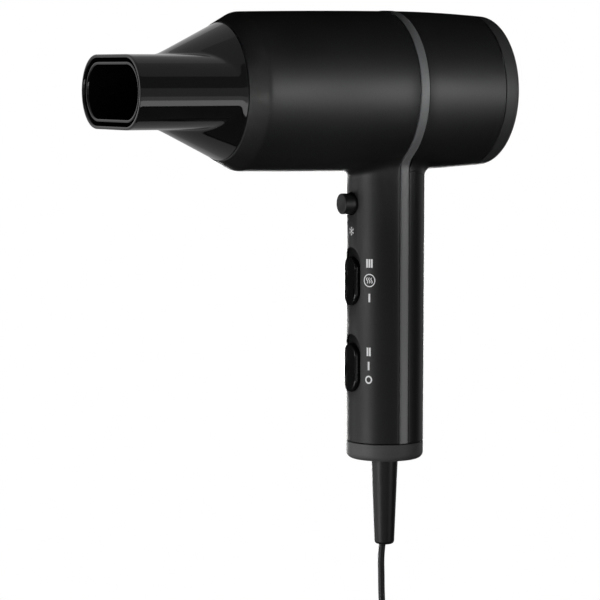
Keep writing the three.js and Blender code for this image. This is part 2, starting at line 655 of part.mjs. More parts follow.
// A thumb slide: the saddle-shaped grip in the slot, a curved plate behind the wall and a fork for the lever.
function slideKnob(z) {
  const face = handleRadius(z) + KNOB_PROUD;
  const grip = knobPrism(KNOB_WIDTH, KNOB_LENGTH, z, -face - 1, 1.2 - HANDLE_INNER_R)
    .intersect(discZ(face, z - KNOB_LENGTH, z + KNOB_LENGTH));
  const hollowR = KNOB_LENGTH ** 2 / (10 * KNOB_SADDLE);
  const hollow = new THREE.CylinderGeometry(hollowR, hollowR, KNOB_WIDTH * 2, 64);
  hollow.translate(-face + KNOB_SADDLE - hollowR, 0, z);
  const plateOuter = HANDLE_BASE_R - SLOT_WALL - LEVER_FIT;
  const plate = ringZ(plateOuter - FLANGE, plateOuter, z - PLATE_HALF, z + PLATE_HALF)
    .intersect(box(-BIG, 0, -PLATE_SIDE, PLATE_SIDE, -BIG, BIG));
  const forkWall = 2.4;
  const forkY = LEVER_HALF_Y + forkWall;
  const forkZ = LEVER_HALF_Z + forkWall;
  const fork = box(SEAM - plateOuter, 5.2 - HANDLE_INNER_R, -forkY, forkY, z - forkZ, z + forkZ);
  const pocketY = LEVER_HALF_Y + SEAM;
  const pocketZ = LEVER_HALF_Z + SEAM;
  const pocket = box(2.5 - HANDLE_INNER_R, 0, -pocketY, pocketY, z - pocketZ, z + pocketZ);
  return cut(join(cut(grip, solid(hollow)), plate, fork), pocket);
}

const COOL_FLANGE_R = COOL_R + COOL_GAP + 0.9;
const COOL_FLANGE = 1.2; // its thickness
const COOL_FLANGE_X = 1.5 * FIT - Math.sqrt(HANDLE_INNER_R ** 2 - COOL_FLANGE_R ** 2);
const COOL_SWITCH_FRONT = COOL_FLANGE_X + COOL_FLANGE + COOL_TRAVEL + 1.5 * FIT;
const COOL_SWITCH_HALF = 6.5;
const PLUNGER_R = 1.8;

function coolButton() {
  const tip = -handleRadius(COOL_Z) - COOL_PROUD;
  const flange = tip - COOL_FLANGE_X;
  const cap = turnedZ([
    [0, 0], [COOL_R - 0.5, 0], [COOL_R, -0.5], [COOL_R, flange],
    [COOL_FLANGE_R, flange], [COOL_FLANGE_R, flange - COOL_FLANGE], [0, flange - COOL_FLANGE],
  ], COARSE);
  return cap.rotate([0, -90, 0]).translate([tip, 0, COOL_Z]);
}

const coolSwitch = () => cut(
  box(COOL_SWITCH_FRONT, BOARD_X - SEAM, -COOL_SWITCH_HALF, COOL_SWITCH_HALF,
    COOL_Z - COOL_SWITCH_HALF, COOL_Z + COOL_SWITCH_HALF),
  rodX(PLUNGER_R + FIT, COOL_SWITCH_FRONT - 1, BOARD_X - 2.5, 0, COOL_Z, 16));

const coolPlunger = () => rodX(
  PLUNGER_R, COOL_FLANGE_X + COOL_FLANGE + SEAM, BOARD_X - 3.2 - COOL_TRAVEL, 0, COOL_Z, 16);

const ionGenerator = () => box(BOARD_X + PCB_THICK + SEAM, BOARD_X + PCB_THICK + 10, -8, 8, -38, -10);

// ---------------------------------------------------------------- strain relief and inner lead
const BOOT_Z = BASE_BOTTOM - SEAM;
const BOOT_END_Z = BOOT_Z - BOOT_LENGTH;
const BOOT_FLANGE_TOP = BASE_FLOOR + 2.6;

function cordBoot() {
  const flangeR = BOOT_END_R + 3;
  const flangeZ = BASE_FLOOR + SEAM;
  const outline = [
    [0, BOOT_END_Z], [BOOT_END_R - 1, BOOT_END_Z], [BOOT_END_R - 0.2, BOOT_END_Z + 0.6],
    [BOOT_END_R, BOOT_END_Z + 1.6], [BOOT_TOP_R, BOOT_Z], [BOOT_END_R, BOOT_Z],
    [BOOT_END_R, flangeZ], [flangeR, flangeZ], [flangeR, BOOT_FLANGE_TOP], [0, BOOT_FLANGE_TOP],
  ];
  return cut(turnedZ(outline, COARSE), discZ(BORE_R, BOOT_END_Z - 1, BOOT_FLANGE_TOP + 1, 16, BORE_SHIFT));
}

const INNER_LEAD_R = CORD_D / 2 - 0.2;
const innerLead = () => discZ(INNER_LEAD_R, BOOT_END_Z + 1, PCB_Z0 - 4, 12, BORE_SHIFT);

const CLAMP_Z0 = BOOT_FLANGE_TOP + 1.5 * FIT;
const CLAMP_Z1 = CLAMP_Z0 + 5;
const CLAMP_HALF_X = 4.5;
const CLAMP_HALF_Y = BASE_LIP_R - BASE_LIP_WALL - 4.3;
const CLAMP_SCREW_R = 1.5;
const CLAMP_HEAD_R = 2.8;
const CLAMP_SCREW_Y = CLAMP_HALF_Y - 3.5;

function cordClamp() {
  const bar = box(
    BORE_SHIFT - CLAMP_HALF_X, BORE_SHIFT + CLAMP_HALF_X, -CLAMP_HALF_Y, CLAMP_HALF_Y, CLAMP_Z0, CLAMP_Z1);
  const hole = (radius, y) => discZ(radius, CLAMP_Z0 - 1, CLAMP_Z1 + 1, 12, BORE_SHIFT, y);
  const screw = CLAMP_SCREW_R + SEAM;
  return cut(bar, hole(INNER_LEAD_R + SEAM, 0), hole(screw, CLAMP_SCREW_Y), hole(screw, -CLAMP_SCREW_Y));
}

function clampScrew(y) {
  const head = CLAMP_Z1 + SEAM;
  const shank = discZ(CLAMP_SCREW_R, CLAMP_Z0 - FIT, head + SEAM, 12, BORE_SHIFT, y);
  return join(shank, discZ(CLAMP_HEAD_R, head, head + 2.1, 12, BORE_SHIFT, y));
}

// ---------------------------------------------------------------- mains cord
// It hangs from the boot and is put away in a round coil on the surface below the grip.
const FLOOR_Z = -201;
const TURN_PITCH = CORD_D + 0.1;
const LAYERS = 4;
const COIL_MEAN_R = 32; // middle radius of the coil's section, two turns wide
const TIE_THICK = 0.8;
const COIL_FLOOR = FLOOR_Z + TIE_THICK + SEAM;
const COIL_OUTER_R = COIL_MEAN_R + TURN_PITCH;
const COIL_INNER_R = COIL_MEAN_R - TURN_PITCH;
const COIL_TOP = COIL_FLOOR + LAYERS * TURN_PITCH;
const COIL_X = COIL_MEAN_R + TURN_PITCH / 2 - 1.6; // the coil's outer turn passes just below the boot
const PLUG_HALF_WIDTH = 17.5;
const PLUG_HALF_HEIGHT = 13;
const PLUG_LENGTH = 38;
const PLUG_X = -30;
const PLUG_Y = 20;
const PLUG_Z = FLOOR_Z + PLUG_HALF_HEIGHT;
const PIN_R = 2.4; // the standard two-pole plug
const PIN_LENGTH = 19;
const PIN_SPACING = 19;

const at = (points) => new THREE.CatmullRomCurve3(points.map((p) => new THREE.Vector3(...p)));

// The last of these points stands just over the coil's top layer, where the cord joins it.
const DROP_ROUTE = [
  [BORE_SHIFT, 0, -127.6], [-1.9, 0, -134], [-1.8, 0, -144], [-1.6, 0, -153.9], [-1.6, -0.9, -160.7],
  [-1.4, -3.5, -167], [-0.8, -7.6, -172.3],
];
const TAIL_ROUTE = [
  [11, 34.8, -197], [3, 34.3, -196.9], [-5, 31.6, -195.6], [-13, 26.5, -192.6], [-21, 21.6, -189.2],
  [-26.5, 20.2, -188.1], [-29.6, 20, -188],
];

const cordDrop = () => tubeAlong(at(DROP_ROUTE), CORD_D / 2, 8, 8);
const cordTail = () => tubeAlong(at(TAIL_ROUTE), CORD_D / 2, 8, 8);
const cordCoil = () => ringZ(COIL_INNER_R, COIL_OUTER_R, COIL_FLOOR, COIL_TOP, ROUND, COIL_X);

function cordTie() {
  const half = 4;
  const x0 = COIL_X + COIL_INNER_R - SEAM - FIT;
  const x1 = COIL_X + COIL_OUTER_R + SEAM;
  const top = COIL_TOP + SEAM;
  const outside = box(x0 - TIE_THICK, x1 + TIE_THICK, -half, half, FLOOR_Z, top + TIE_THICK);
  return cut(outside, box(x0, x1, -half - 1, half + 1, FLOOR_Z + TIE_THICK, top));
}

function plugBody() {
  const outline = [[0, 0], [4, 0], [4.6, -8], [8, -13], [15.5, -20], [PLUG_HALF_WIDTH, -25],
    [PLUG_HALF_WIDTH, -PLUG_LENGTH + 1], [PLUG_HALF_WIDTH - 1, -PLUG_LENGTH], [0, -PLUG_LENGTH]];
  const points = [...outline, outline[0]].map(([r, t]) => new THREE.Vector2(r, t));
  const geometry = new THREE.LatheGeometry(points, COARSE);
  geometry.rotateZ(-Math.PI / 2);
  geometry.scale(1, 1, PLUG_HALF_HEIGHT / PLUG_HALF_WIDTH);
  geometry.translate(PLUG_X, PLUG_Y, PLUG_Z);
  return solid(geometry);
}

function plugPin(side) {
  const face = PLUG_X - PLUG_LENGTH - SEAM;
  return rodX(PIN_R, face - PIN_LENGTH, face, PLUG_Y + (side * PIN_SPACING) / 2, PLUG_Z, 16);
}

// ---------------------------------------------------------------- the assembly
const SOFT_BLACK = { color: 0x121213, roughness: 0.55, metalness: 0 };
const GLOSS_BLACK = { color: 0x08080a, roughness: 0.18, metalness: 0 };
const BAND_GREY = { color: 0x2a2b2d, roughness: 0.35, metalness: 0.3 };
const NATURAL = { color: 0xc9c2b4, roughness: 0.6, metalness: 0 };
const MICA = { color: 0xb9a888, roughness: 0.7, metalness: 0 };
const STEEL = { color: 0xa9adb2, roughness: 0.3, metalness: 1 };
const BRONZE = { color: 0x9a7440, roughness: 0.4, metalness: 1 };
const NICHROME = { color: 0x7c7a78, roughness: 0.45, metalness: 1 };
const BOARD_GREEN = { color: 0x1f5a35, roughness: 0.5, metalness: 0 };
const DARK_INNER = { color: 0x1c1c1e, roughness: 0.6, metalness: 0 };
const CORD_BLACK = { color: 0x101011, roughness: 0.5, metalness: 0 };

const group = new THREE.Group();

function add(name, body, look) {
  const mesh = new THREE.Mesh(geometryOf(body), new THREE.MeshStandardMaterial(look));
  mesh.name = name;
  group.add(mesh);
}

add("front_housing", frontHousing(), SOFT_BLACK);
add("rear_housing", rearHousing(), SOFT_BLACK);
add("handle_back_cover", handleBackCover(), SOFT_BLACK);
add("trim_band", trimBand(), BAND_GREY);
add("base_cap", baseCap(), BAND_GREY);
add("rear_cap", rearCap(), BAND_GREY);
add("intake_filter", intakeFilter(), DARK_INNER);

add("nozzle_shell", nozzleShell(), GLOSS_BLACK);
add("nozzle_duct", nozzleDuct(), GLOSS_BLACK);
add("nozzle_collar", nozzleCollar(), DARK_INNER);
add("outlet_ring", outletRing(), DARK_INNER);
add("outlet_grille", outletGrille(), DARK_INNER);
add("ion_emitter", ionEmitter(), NATURAL);

add("fan_shroud", fanShroud(), DARK_INNER);
add("impeller", impeller(), NATURAL);
add("motor_can", motorCan(), STEEL);
add("motor_magnet_left", motorMagnet(1), DARK_INNER);
add("motor_magnet_right", motorMagnet(-1), DARK_INNER);
add("motor_armature", motorArmature(), BRONZE);
add("motor_shaft", motorShaft(), STEEL);
add("front_bearing", bearing(CAN_X0 - BEARING_PROUD), BRONZE);
add("rear_bearing", bearing(CAN_X1 - BEARING_LENGTH + BEARING_PROUD), BRONZE);

const boards = micaBoards();
const coilMiddle = (HEATER_X0 + HEATER_X1) / 2;
add("heater_sleeve", heaterSleeve(), MICA);
add("mica_board_upright", boards.upright, MICA);
add("mica_board_level", boards.level, MICA);
add("heating_coil_front", heatingCoil(HEATER_X0 + 3, coilMiddle - 2), NICHROME);
add("heating_coil_rear", heatingCoil(coilMiddle + 2, HEATER_X1 - 3), NICHROME);
add("thermostat", thermostat(), NATURAL);
add("thermal_fuse", thermalFuse(), STEEL);

add("circuit_board", circuitBoard(), BOARD_GREEN);
add("board_screw_lower", boardScrew(PCB_Z0 + SCREW_INSET), STEEL);
add("board_screw_upper", boardScrew(PCB_Z1 - SCREW_INSET), STEEL);
add("speed_switch", slideSwitch(SPEED_Z), DARK_INNER);
add("speed_lever", switchLever(SPEED_Z), NATURAL);
add("speed_knob", slideKnob(SPEED_Z), SOFT_BLACK);
add("heat_switch", slideSwitch(HEAT_Z), DARK_INNER);
add("heat_lever", switchLever(HEAT_Z), NATURAL);
add("heat_knob", slideKnob(HEAT_Z), SOFT_BLACK);
add("cool_switch", coolSwitch(), DARK_INNER);
add("cool_plunger", coolPlunger(), NATURAL);
add("cool_button", coolButton(), SOFT_BLACK);
add("ion_generator", ionGenerator(), DARK_INNER);

add("cord_boot", cordBoot(), CORD_BLACK);
add("inner_lead", innerLead(), CORD_BLACK);
add("cord_clamp", cordClamp(), NATURAL);
add("clamp_screw_left", clampScrew(CLAMP_SCREW_Y), STEEL);
add("clamp_screw_right", clampScrew(-CLAMP_SCREW_Y), STEEL);

add("cord_drop", cordDrop(), CORD_BLACK);
add("cord_coil", cordCoil(), CORD_BLACK);
add("cord_tie", cordTie(), CORD_BLACK);
add("cord_tail", cordTail(), CORD_BLACK);
add("plug_body", plugBody(), CORD_BLACK);
add("plug_pin_left", plugPin(1), STEEL);
add("plug_pin_right", plugPin(-1), STEEL);

export default group;
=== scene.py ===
"""Hair dryer: surfaces, cord, finishes and studio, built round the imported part."""

import json
import math
from contextlib import contextmanager

import bmesh
import bpy
from bpy.props import FloatProperty, FloatVectorProperty, PointerProperty
from mathutils import Matrix, Vector


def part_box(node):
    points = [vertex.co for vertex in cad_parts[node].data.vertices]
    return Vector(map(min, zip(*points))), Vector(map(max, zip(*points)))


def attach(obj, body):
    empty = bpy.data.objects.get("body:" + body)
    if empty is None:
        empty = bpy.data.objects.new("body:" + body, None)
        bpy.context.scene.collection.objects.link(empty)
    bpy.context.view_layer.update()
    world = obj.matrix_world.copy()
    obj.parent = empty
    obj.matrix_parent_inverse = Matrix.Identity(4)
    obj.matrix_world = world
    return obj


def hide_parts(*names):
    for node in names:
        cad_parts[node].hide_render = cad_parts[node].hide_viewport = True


bl_info = {
    "name": "Hair Dryer",
    "version": (1, 0, 0),
    "blender": (4, 5, 0),
    "location": "3D View > Sidebar > Hair Dryer",
    "description": "Models the surfaces of a hair dryer with a concentrator nozzle, and its mains cord",
    "category": "Object",
}

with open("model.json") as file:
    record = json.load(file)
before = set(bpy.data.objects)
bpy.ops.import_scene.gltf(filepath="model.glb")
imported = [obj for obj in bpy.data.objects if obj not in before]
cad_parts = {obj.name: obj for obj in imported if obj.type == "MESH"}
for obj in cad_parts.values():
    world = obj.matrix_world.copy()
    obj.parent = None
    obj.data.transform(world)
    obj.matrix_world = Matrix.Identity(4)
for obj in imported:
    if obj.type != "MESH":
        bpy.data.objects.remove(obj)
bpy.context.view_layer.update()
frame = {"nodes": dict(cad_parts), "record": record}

MM = 0.001
X_AXIS = Vector((1, 0, 0))
Z_AXIS = Vector((0, 0, 1))


def middle(node):
    """The middle of a node's box."""
    low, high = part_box(node)
    return (low + high) / 2


# ---------------------------------------------------------------- places read from the frame
BAND_PROUD = 0.25 * MM
SEAM = 0.3 * MM
BARREL_Z = middle("nozzle_collar").z
BARREL_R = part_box("trim_band")[1].y - BAND_PROUD
BARREL_FRONT = 88.8 * MM
MOUTH_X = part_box("front_housing")[0].x
MOUTH_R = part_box("nozzle_collar")[1].y + 2.75 * MM
REAR_SEAM_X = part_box("rear_housing")[1].x + SEAM / 2
REAR_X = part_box("rear_cap")[1].x
REAR_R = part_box("rear_cap")[1].y
HALF_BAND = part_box("trim_band")[1].x
BASE_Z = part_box("front_housing")[0].z - SEAM / 2
BASE_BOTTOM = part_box("base_cap")[0].z
HANDLE_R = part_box("base_cap")[1].y
HANDLE_TAPER = 0.35 * MM
GRIP_TOP = BARREL_Z - BARREL_R
TIP_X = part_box("nozzle_shell")[0].x
KNOB_TRAVEL = 4.8 * MM
BOOT_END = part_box("cord_boot")[0].z
FLOOR_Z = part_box("cord_tie")[0].z
BARREL_CENTRE = Vector((0, 0, BARREL_Z))


# ---------------------------------------------------------------- settings a user would change
class DryerSizes(bpy.types.PropertyGroup):
    wall: FloatProperty(name="Wall", description="Thickness of the housing shells", default=2.2 * MM, unit="LENGTH")
    edge: FloatProperty(
        name="Edge", description="Rounding of the shells' parting edges", default=0.25 * MM, unit="LENGTH")
    fillet: FloatProperty(
        name="Fillet", description="Radius between the barrel and the handle", default=4.2 * MM, unit="LENGTH")
    shoulder: FloatProperty(
        name="Shoulder", description="Radius of the barrel's front shoulder", default=2.5 * MM, unit="LENGTH")
    nozzle_wall: FloatProperty(
        name="Nozzle wall", description="Thickness of the nozzle's outer shell", default=1.7 * MM, unit="LENGTH")
    nozzle_crease: FloatProperty(
        name="Nozzle crease", description="Softness of the crease between the nozzle's cone and tube",
        default=0.9 * MM, unit="LENGTH")
    cord_width: FloatProperty(
        name="Cord width", description="Width of the flat twin cord", default=5.6 * MM, unit="LENGTH")
    cord_thickness: FloatProperty(
        name="Cord thickness", description="Thickness of the flat twin cord", default=3.5 * MM, unit="LENGTH")


def colour_property(name, description, default):
    return FloatVectorProperty(
        name=name, description=description, default=default, subtype="COLOR", size=3, min=0, max=1)


class DryerFinish(bpy.types.PropertyGroup):
    shell: colour_property("Shell", "Colour of the matt housing", (0.0080, 0.0080, 0.0083))
    gloss: colour_property("Nozzle", "Colour of the polished nozzle", (0.0040, 0.0040, 0.0042))
    band: colour_property("Band", "Colour of the trim band", (0.08, 0.081, 0.083))
    base: colour_property("Caps", "Colour of the base cap", (0.105, 0.105, 0.106))
    cap: colour_property("Rear cap", "Colour of the rear cap", (0.03, 0.03, 0.0305))
    knob: colour_property("Switches", "Colour of the switches and the cool button", (0.009, 0.009, 0.0095))
    cord: colour_property("Cord", "Colour of the cord, its relief and the plug", (0.012, 0.012, 0.0125))
    print: colour_property("Marks", "Colour of the printed marks", (0.62, 0.62, 0.63))


class DryerStage(bpy.types.PropertyGroup):
    barrel_light: FloatProperty(name="Barrel light", description="Power of the strip along the barrel", default=1.0)
    side_light: FloatProperty(name="Side light", description="Power of the tall light before the nozzle", default=1.0)
    fill_light: FloatProperty(name="Fill light", description="Brightness of the room", default=0.006)
    floor_size: FloatProperty(
        name="Floor size", description="Radius of the floor", default=6.0, unit="LENGTH")


def sizes():
    return bpy.context.scene.dryer_sizes


def finish():
    return bpy.context.scene.dryer_finish


def stage():
    return bpy.context.scene.dryer_stage


# ---------------------------------------------------------------- modelling helpers
def clear_selection():
    bpy.ops.object.select_all(action="DESELECT")


def choose(obj):
    clear_selection()
    obj.select_set(True)
    bpy.context.view_layer.objects.active = obj


@contextmanager
def editing(obj):
    choose(obj)
    bpy.ops.object.mode_set(mode="EDIT")
    bpy.ops.mesh.select_mode(type="VERT")
    yield
    bpy.ops.object.mode_set(mode="OBJECT")


def pick(obj, kind, test):
    """In edit mode, selects the vertices, edges or faces that pass a test, and counts them."""
    bpy.ops.mesh.select_mode(type=kind)
    bpy.ops.mesh.select_all(action="DESELECT")
    mesh = bmesh.from_edit_mesh(obj.data)
    found = [item for item in {"VERT": mesh.verts, "EDGE": mesh.edges, "FACE": mesh.faces}[kind] if test(item)]
    for item in found:
        item.select_set(True)
    bmesh.update_edit_mesh(obj.data)
    return len(found)


def close_up(obj, outward=True):
    """Merges doubles and points the faces outwards."""
    with editing(obj):
        bpy.ops.mesh.select_all(action="SELECT")
        bpy.ops.mesh.remove_doubles(threshold=1e-6)
        if outward:
            bpy.ops.mesh.normals_make_consistent(inside=False)


def outline(name, points):
    """A line of points, extruded from one to the next."""
    points = [Vector(point) for point in points]
    clear_selection()
    bpy.ops.mesh.primitive_plane_add(size=MM, location=points[0])
    bpy.ops.object.transform_apply(location=True, rotation=True, scale=True)
    obj = bpy.context.object
    obj.name = obj.data.name = name
    with editing(obj):
        bpy.ops.mesh.select_all(action="SELECT")
        bpy.ops.mesh.merge(type="CENTER")
        for a, b in zip(points, points[1:]):
            bpy.ops.mesh.extrude_vertices_move(TRANSFORM_OT_translate={"value": b - a})
    return obj


def spun(name, points, centre, axis, sides):
    """A closed line of points, spun into a solid about an axis."""
    obj = outline(name, points + points[:1])
    with editing(obj):
        bpy.ops.mesh.select_all(action="SELECT")
        bpy.ops.mesh.spin(steps=sides, angle=2 * math.pi, center=centre, axis=axis)
    close_up(obj)
    return obj


def turned_x(name, pairs, sides=144):
    """A solid turned about the barrel's axis from (radius, x) pairs."""
    points = [(x, 0, BARREL_Z + radius) for radius, x in pairs]
    return spun(name, points, BARREL_CENTRE, X_AXIS, sides)


def turned_z(name, pairs, sides=96, x=0.0, y=0.0):
    """A solid turned about an upright axis from (radius, z) pairs."""
    points = [(x - radius, y, z) for radius, z in pairs]
    return spun(name, points, (x, y, 0), Z_AXIS, sides)


def prism(name, points, depth):
    """A flat outline, filled and pulled out along depth."""
    obj = outline(name, points + points[:1])
    with editing(obj):
        bpy.ops.mesh.select_all(action="SELECT")
        bpy.ops.mesh.remove_doubles(threshold=1e-6)
        bpy.ops.mesh.edge_face_add()
        bpy.ops.mesh.extrude_region_move(TRANSFORM_OT_translate={"value": depth})
    close_up(obj)
    return obj


def block(name, low, high):
    """A box between two corners."""
    low, high = Vector(low), Vector(high)
    clear_selection()
    bpy.ops.mesh.primitive_cube_add(size=1, location=(low + high) / 2, scale=high - low)
    obj = bpy.context.object
    obj.name = obj.data.name = name
    bpy.ops.object.transform_apply(location=True, rotation=True, scale=True)
    return obj


def duplicate(obj, name):
    copy = obj.copy()
    copy.data = obj.data.copy()
    copy.name = copy.data.name = name
    bpy.context.collection.objects.link(copy)
    return copy


def combine(obj, tool, operation, keep=False):
    """Joins, cuts or crosses two solids."""
    choose(obj)
    modifier = obj.modifiers.new("Combine", "BOOLEAN")
    modifier.operation = operation
    modifier.object = tool
    modifier.solver = "EXACT"
    bpy.ops.object.modifier_apply(modifier=modifier.name)
    with editing(obj):
        bpy.ops.mesh.select_all(action="SELECT")
        bpy.ops.mesh.remove_doubles(threshold=4e-6)
        bpy.ops.mesh.dissolve_degenerate(threshold=2e-6)
    if not keep:
        bpy.data.objects.remove(tool)
    return obj


def round_edges(obj, test, width, segments=2):
    """Bevels the edges that pass a test."""
    with editing(obj):
        if pick(obj, "EDGE", test):
            bpy.ops.mesh.bevel(offset=width, segments=segments, profile=0.5, affect="EDGES", clamp_overlap=False)


def arc(centre, radius, start, end, steps):
    """Points of an arc as pairs, from one angle to another, in degrees."""
    turns = [math.radians(start + (end - start) * i / steps) for i in range(steps + 1)]
    return [(centre[0] + radius * math.cos(a), centre[1] + radius * math.sin(a)) for a in turns]


def smooth_corner(before, corner, after, radius, steps):
    """The points of a round corner between two straight runs, all pairs."""
    before, corner, after = Vector(before), Vector(corner), Vector(after)
    back = (before - corner).normalized()
    on = (after - corner).normalized()
    half = back.angle(on) / 2
    reach = radius / math.tan(half)
    centre = corner + (back + on).normalized() * (radius / math.sin(half))
    start = corner + back * reach - centre
    end = corner + on * reach - centre
    turn = start.angle_signed(end)
    return [tuple(centre + Matrix.Rotation(-turn * i / steps, 2) @ start) for i in range(steps + 1)]


def finish_piece(obj, body, slot, material, *nodes, angle=30):
    """Shades a piece, gives it its finish and body, and lets it stand for CAD nodes."""
    choose(obj)
    bpy.ops.object.shade_smooth_by_angle(angle=math.radians(angle))
    clear_selection()
    obj.data.materials.clear()
    obj.data.materials.append(material)
    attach(obj, body)
    if nodes:
        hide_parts(*nodes)
    return obj


# ---------------------------------------------------------------- finishes
def effect_group(name, inputs, outputs):
    """An empty node group with named number inputs and outputs."""
    group = bpy.data.node_groups.new(name, "ShaderNodeTree")
    for label, kind, default in inputs:
        socket = group.interface.new_socket(name=label, in_out="INPUT", socket_type=kind)
        if default is not None:
            socket.default_value = default
    for label, kind in outputs:
        group.interface.new_socket(name=label, in_out="OUTPUT", socket_type=kind)
    source = group.nodes.new("NodeGroupInput")
    target = group.nodes.new("NodeGroupOutput")
    return group, source, target


def math_node(nodes, links, operation, a, b=None, c=None):
    node = nodes.new("ShaderNodeMath")
    node.operation = operation
    for socket, value in zip(node.inputs, (a, b, c)):
        if value is None:
            continue
        if isinstance(value, bpy.types.NodeSocket):
            links.new(value, socket)
        else:
            socket.default_value = value
    return node.outputs["Value"]


def noise_node(nodes, links, vector, scale, detail=2.0, roughness=0.5):
    node = nodes.new("ShaderNodeTexNoise")
    links.new(vector, node.inputs["Vector"])
    for name, value in (("Scale", scale), ("Detail", detail), ("Roughness", roughness)):
        if isinstance(value, bpy.types.NodeSocket):
            links.new(value, node.inputs[name])
        else:
            node.inputs[name].default_value = value
    return node.outputs["Fac"]


def moulded_grain():
    """Spark-eroded grain of a moulding tool: fine rounded pits of two sizes."""
    group, source, target = effect_group(
        "Moulded grain",
        [("Vector", "NodeSocketVector", None), ("Scale", "NodeSocketFloat", 1500.0),
         ("Depth", "NodeSocketFloat", 1.0)],
        [("Height", "NodeSocketFloat"), ("Pits", "NodeSocketFloat")])
    nodes, links = group.nodes, group.links
    vector, scale = source.outputs["Vector"], source.outputs["Scale"]
    cells = nodes.new("ShaderNodeTexVoronoi")
    cells.feature = "SMOOTH_F1"
    links.new(vector, cells.inputs["Vector"])
    links.new(scale, cells.inputs["Scale"])
    coarse = noise_node(nodes, links, vector, math_node(nodes, links, "MULTIPLY", scale, 0.45), 3.0, 0.6)
    mixed = math_node(nodes, links, "MULTIPLY_ADD", cells.outputs["Distance"], 0.6, coarse)
    links.new(math_node(nodes, links, "MULTIPLY", mixed, source.outputs["Depth"]), target.inputs["Height"])
    links.new(cells.outputs["Distance"], target.inputs["Pits"])
    return group


def handled_surface():
    """Slow changes of sheen left by moulding flow and by handling, and a little settled dust."""
    group, source, target = effect_group(
        "Handled surface",
        [("Vector", "NodeSocketVector", None), ("Scale", "NodeSocketFloat", 18.0),
         ("Contrast", "NodeSocketFloat", 1.0)],
        [("Sheen", "NodeSocketFloat"), ("Dust", "NodeSocketFloat")])
    nodes, links = group.nodes, group.links
    vector, scale = source.outputs["Vector"], source.outputs["Scale"]
    slow = noise_node(nodes, links, vector, scale, 3.0, 0.55)
    centred = math_node(nodes, links, "SUBTRACT", slow, 0.5)
    links.new(math_node(nodes, links, "MULTIPLY", centred, source.outputs["Contrast"]), target.inputs["Sheen"])
    specks = noise_node(nodes, links, vector, math_node(nodes, links, "MULTIPLY", scale, 90.0), 1.0, 0.5)
    rare = math_node(nodes, links, "GREATER_THAN", specks, 0.745)
    links.new(rare, target.inputs["Dust"])
    return group


def fine_scratches():
    """Hairline scuffs along one direction."""
    group, source, target = effect_group(
        "Fine scratches",
        [("Vector", "NodeSocketVector", None), ("Amount", "NodeSocketFloat", 0.5)],
        [("Mask", "NodeSocketFloat")])
    nodes, links = group.nodes, group.links
    stretch = nodes.new("ShaderNodeMapping")
    links.new(source.outputs["Vector"], stretch.inputs["Vector"])
    stretch.inputs["Rotation"].default_value = (0.3, 0.2, 0.6)
    stretch.inputs["Scale"].default_value = (60.0, 2600.0, 2600.0)
    streak = noise_node(nodes, links, stretch.outputs["Vector"], 1.0, 1.0, 0.4)
    line = math_node(nodes, links, "GREATER_THAN", streak, 0.71)
    links.new(math_node(nodes, links, "MULTIPLY", line, source.outputs["Amount"]), target.inputs["Mask"])
    return group


def place_group(nodes, links, group, vector, **values):
    node = nodes.new("ShaderNodeGroup")
    node.node_tree = group
    links.new(vector, node.inputs["Vector"])
    for name, value in values.items():
        node.inputs[name].default_value = value
    return node


def moulded_plastic(
        name, colour, roughness, grain=1500.0, depth=1.0, bump=0.02, spread=0.08, lift=1.25,
        dust=0.0, scuffs=0.0, specular=0.5, coat=0.0, metallic=0.0):
    """A plastic, rubber or metal with its grain, uneven sheen, dust and scuffs."""
    material = bpy.data.materials.new(name)
    material.use_nodes = True
    nodes, links = material.node_tree.nodes, material.node_tree.links
    shader = nodes["Principled BSDF"]
    shader.inputs["Specular IOR Level"].default_value = specular
    shader.inputs["Coat Weight"].default_value = coat
    shader.inputs["Coat Roughness"].default_value = 0.08
    shader.inputs["Metallic"].default_value = metallic
    vector = nodes.new("ShaderNodeTexCoord").outputs["Object"]
    grained = place_group(nodes, links, bpy.data.node_groups["Moulded grain"], vector, Scale=grain, Depth=depth)
    handled = place_group(nodes, links, bpy.data.node_groups["Handled surface"], vector, Scale=16.0, Contrast=2.0)
    scuffed = place_group(nodes, links, bpy.data.node_groups["Fine scratches"], vector, Amount=scuffs)
    rough = math_node(nodes, links, "MULTIPLY_ADD", handled.outputs["Sheen"], spread, roughness)
    rough = math_node(nodes, links, "MULTIPLY_ADD", scuffed.outputs["Mask"], 0.25, rough)
    links.new(rough, shader.inputs["Roughness"])
    mix = nodes.new("ShaderNodeMix")
    mix.data_type = "RGBA"
    mix.inputs["A"].default_value = (*colour, 1)
    mix.inputs["B"].default_value = (*[min(1.0, c * lift + 0.002) for c in colour], 1)
    shade = math_node(nodes, links, "MULTIPLY_ADD", grained.outputs["Pits"], 0.6, handled.outputs["Sheen"])
    speck = math_node(nodes, links, "MULTIPLY_ADD", handled.outputs["Dust"], dust, shade)
    clamp = nodes.new("ShaderNodeClamp")
    links.new(speck, clamp.inputs["Value"])
    links.new(clamp.outputs["Result"], mix.inputs["Factor"])
    links.new(mix.outputs["Result"], shader.inputs["Base Color"])
    relief = nodes.new("ShaderNodeBump")
    relief.inputs["Strength"].default_value = 1.0
    relief.inputs["Distance"].default_value = bump * MM
    links.new(grained.outputs["Height"], relief.inputs["Height"])
    links.new(relief.outputs["Normal"], shader.inputs["Normal"])
    return material


FINISHES = {}


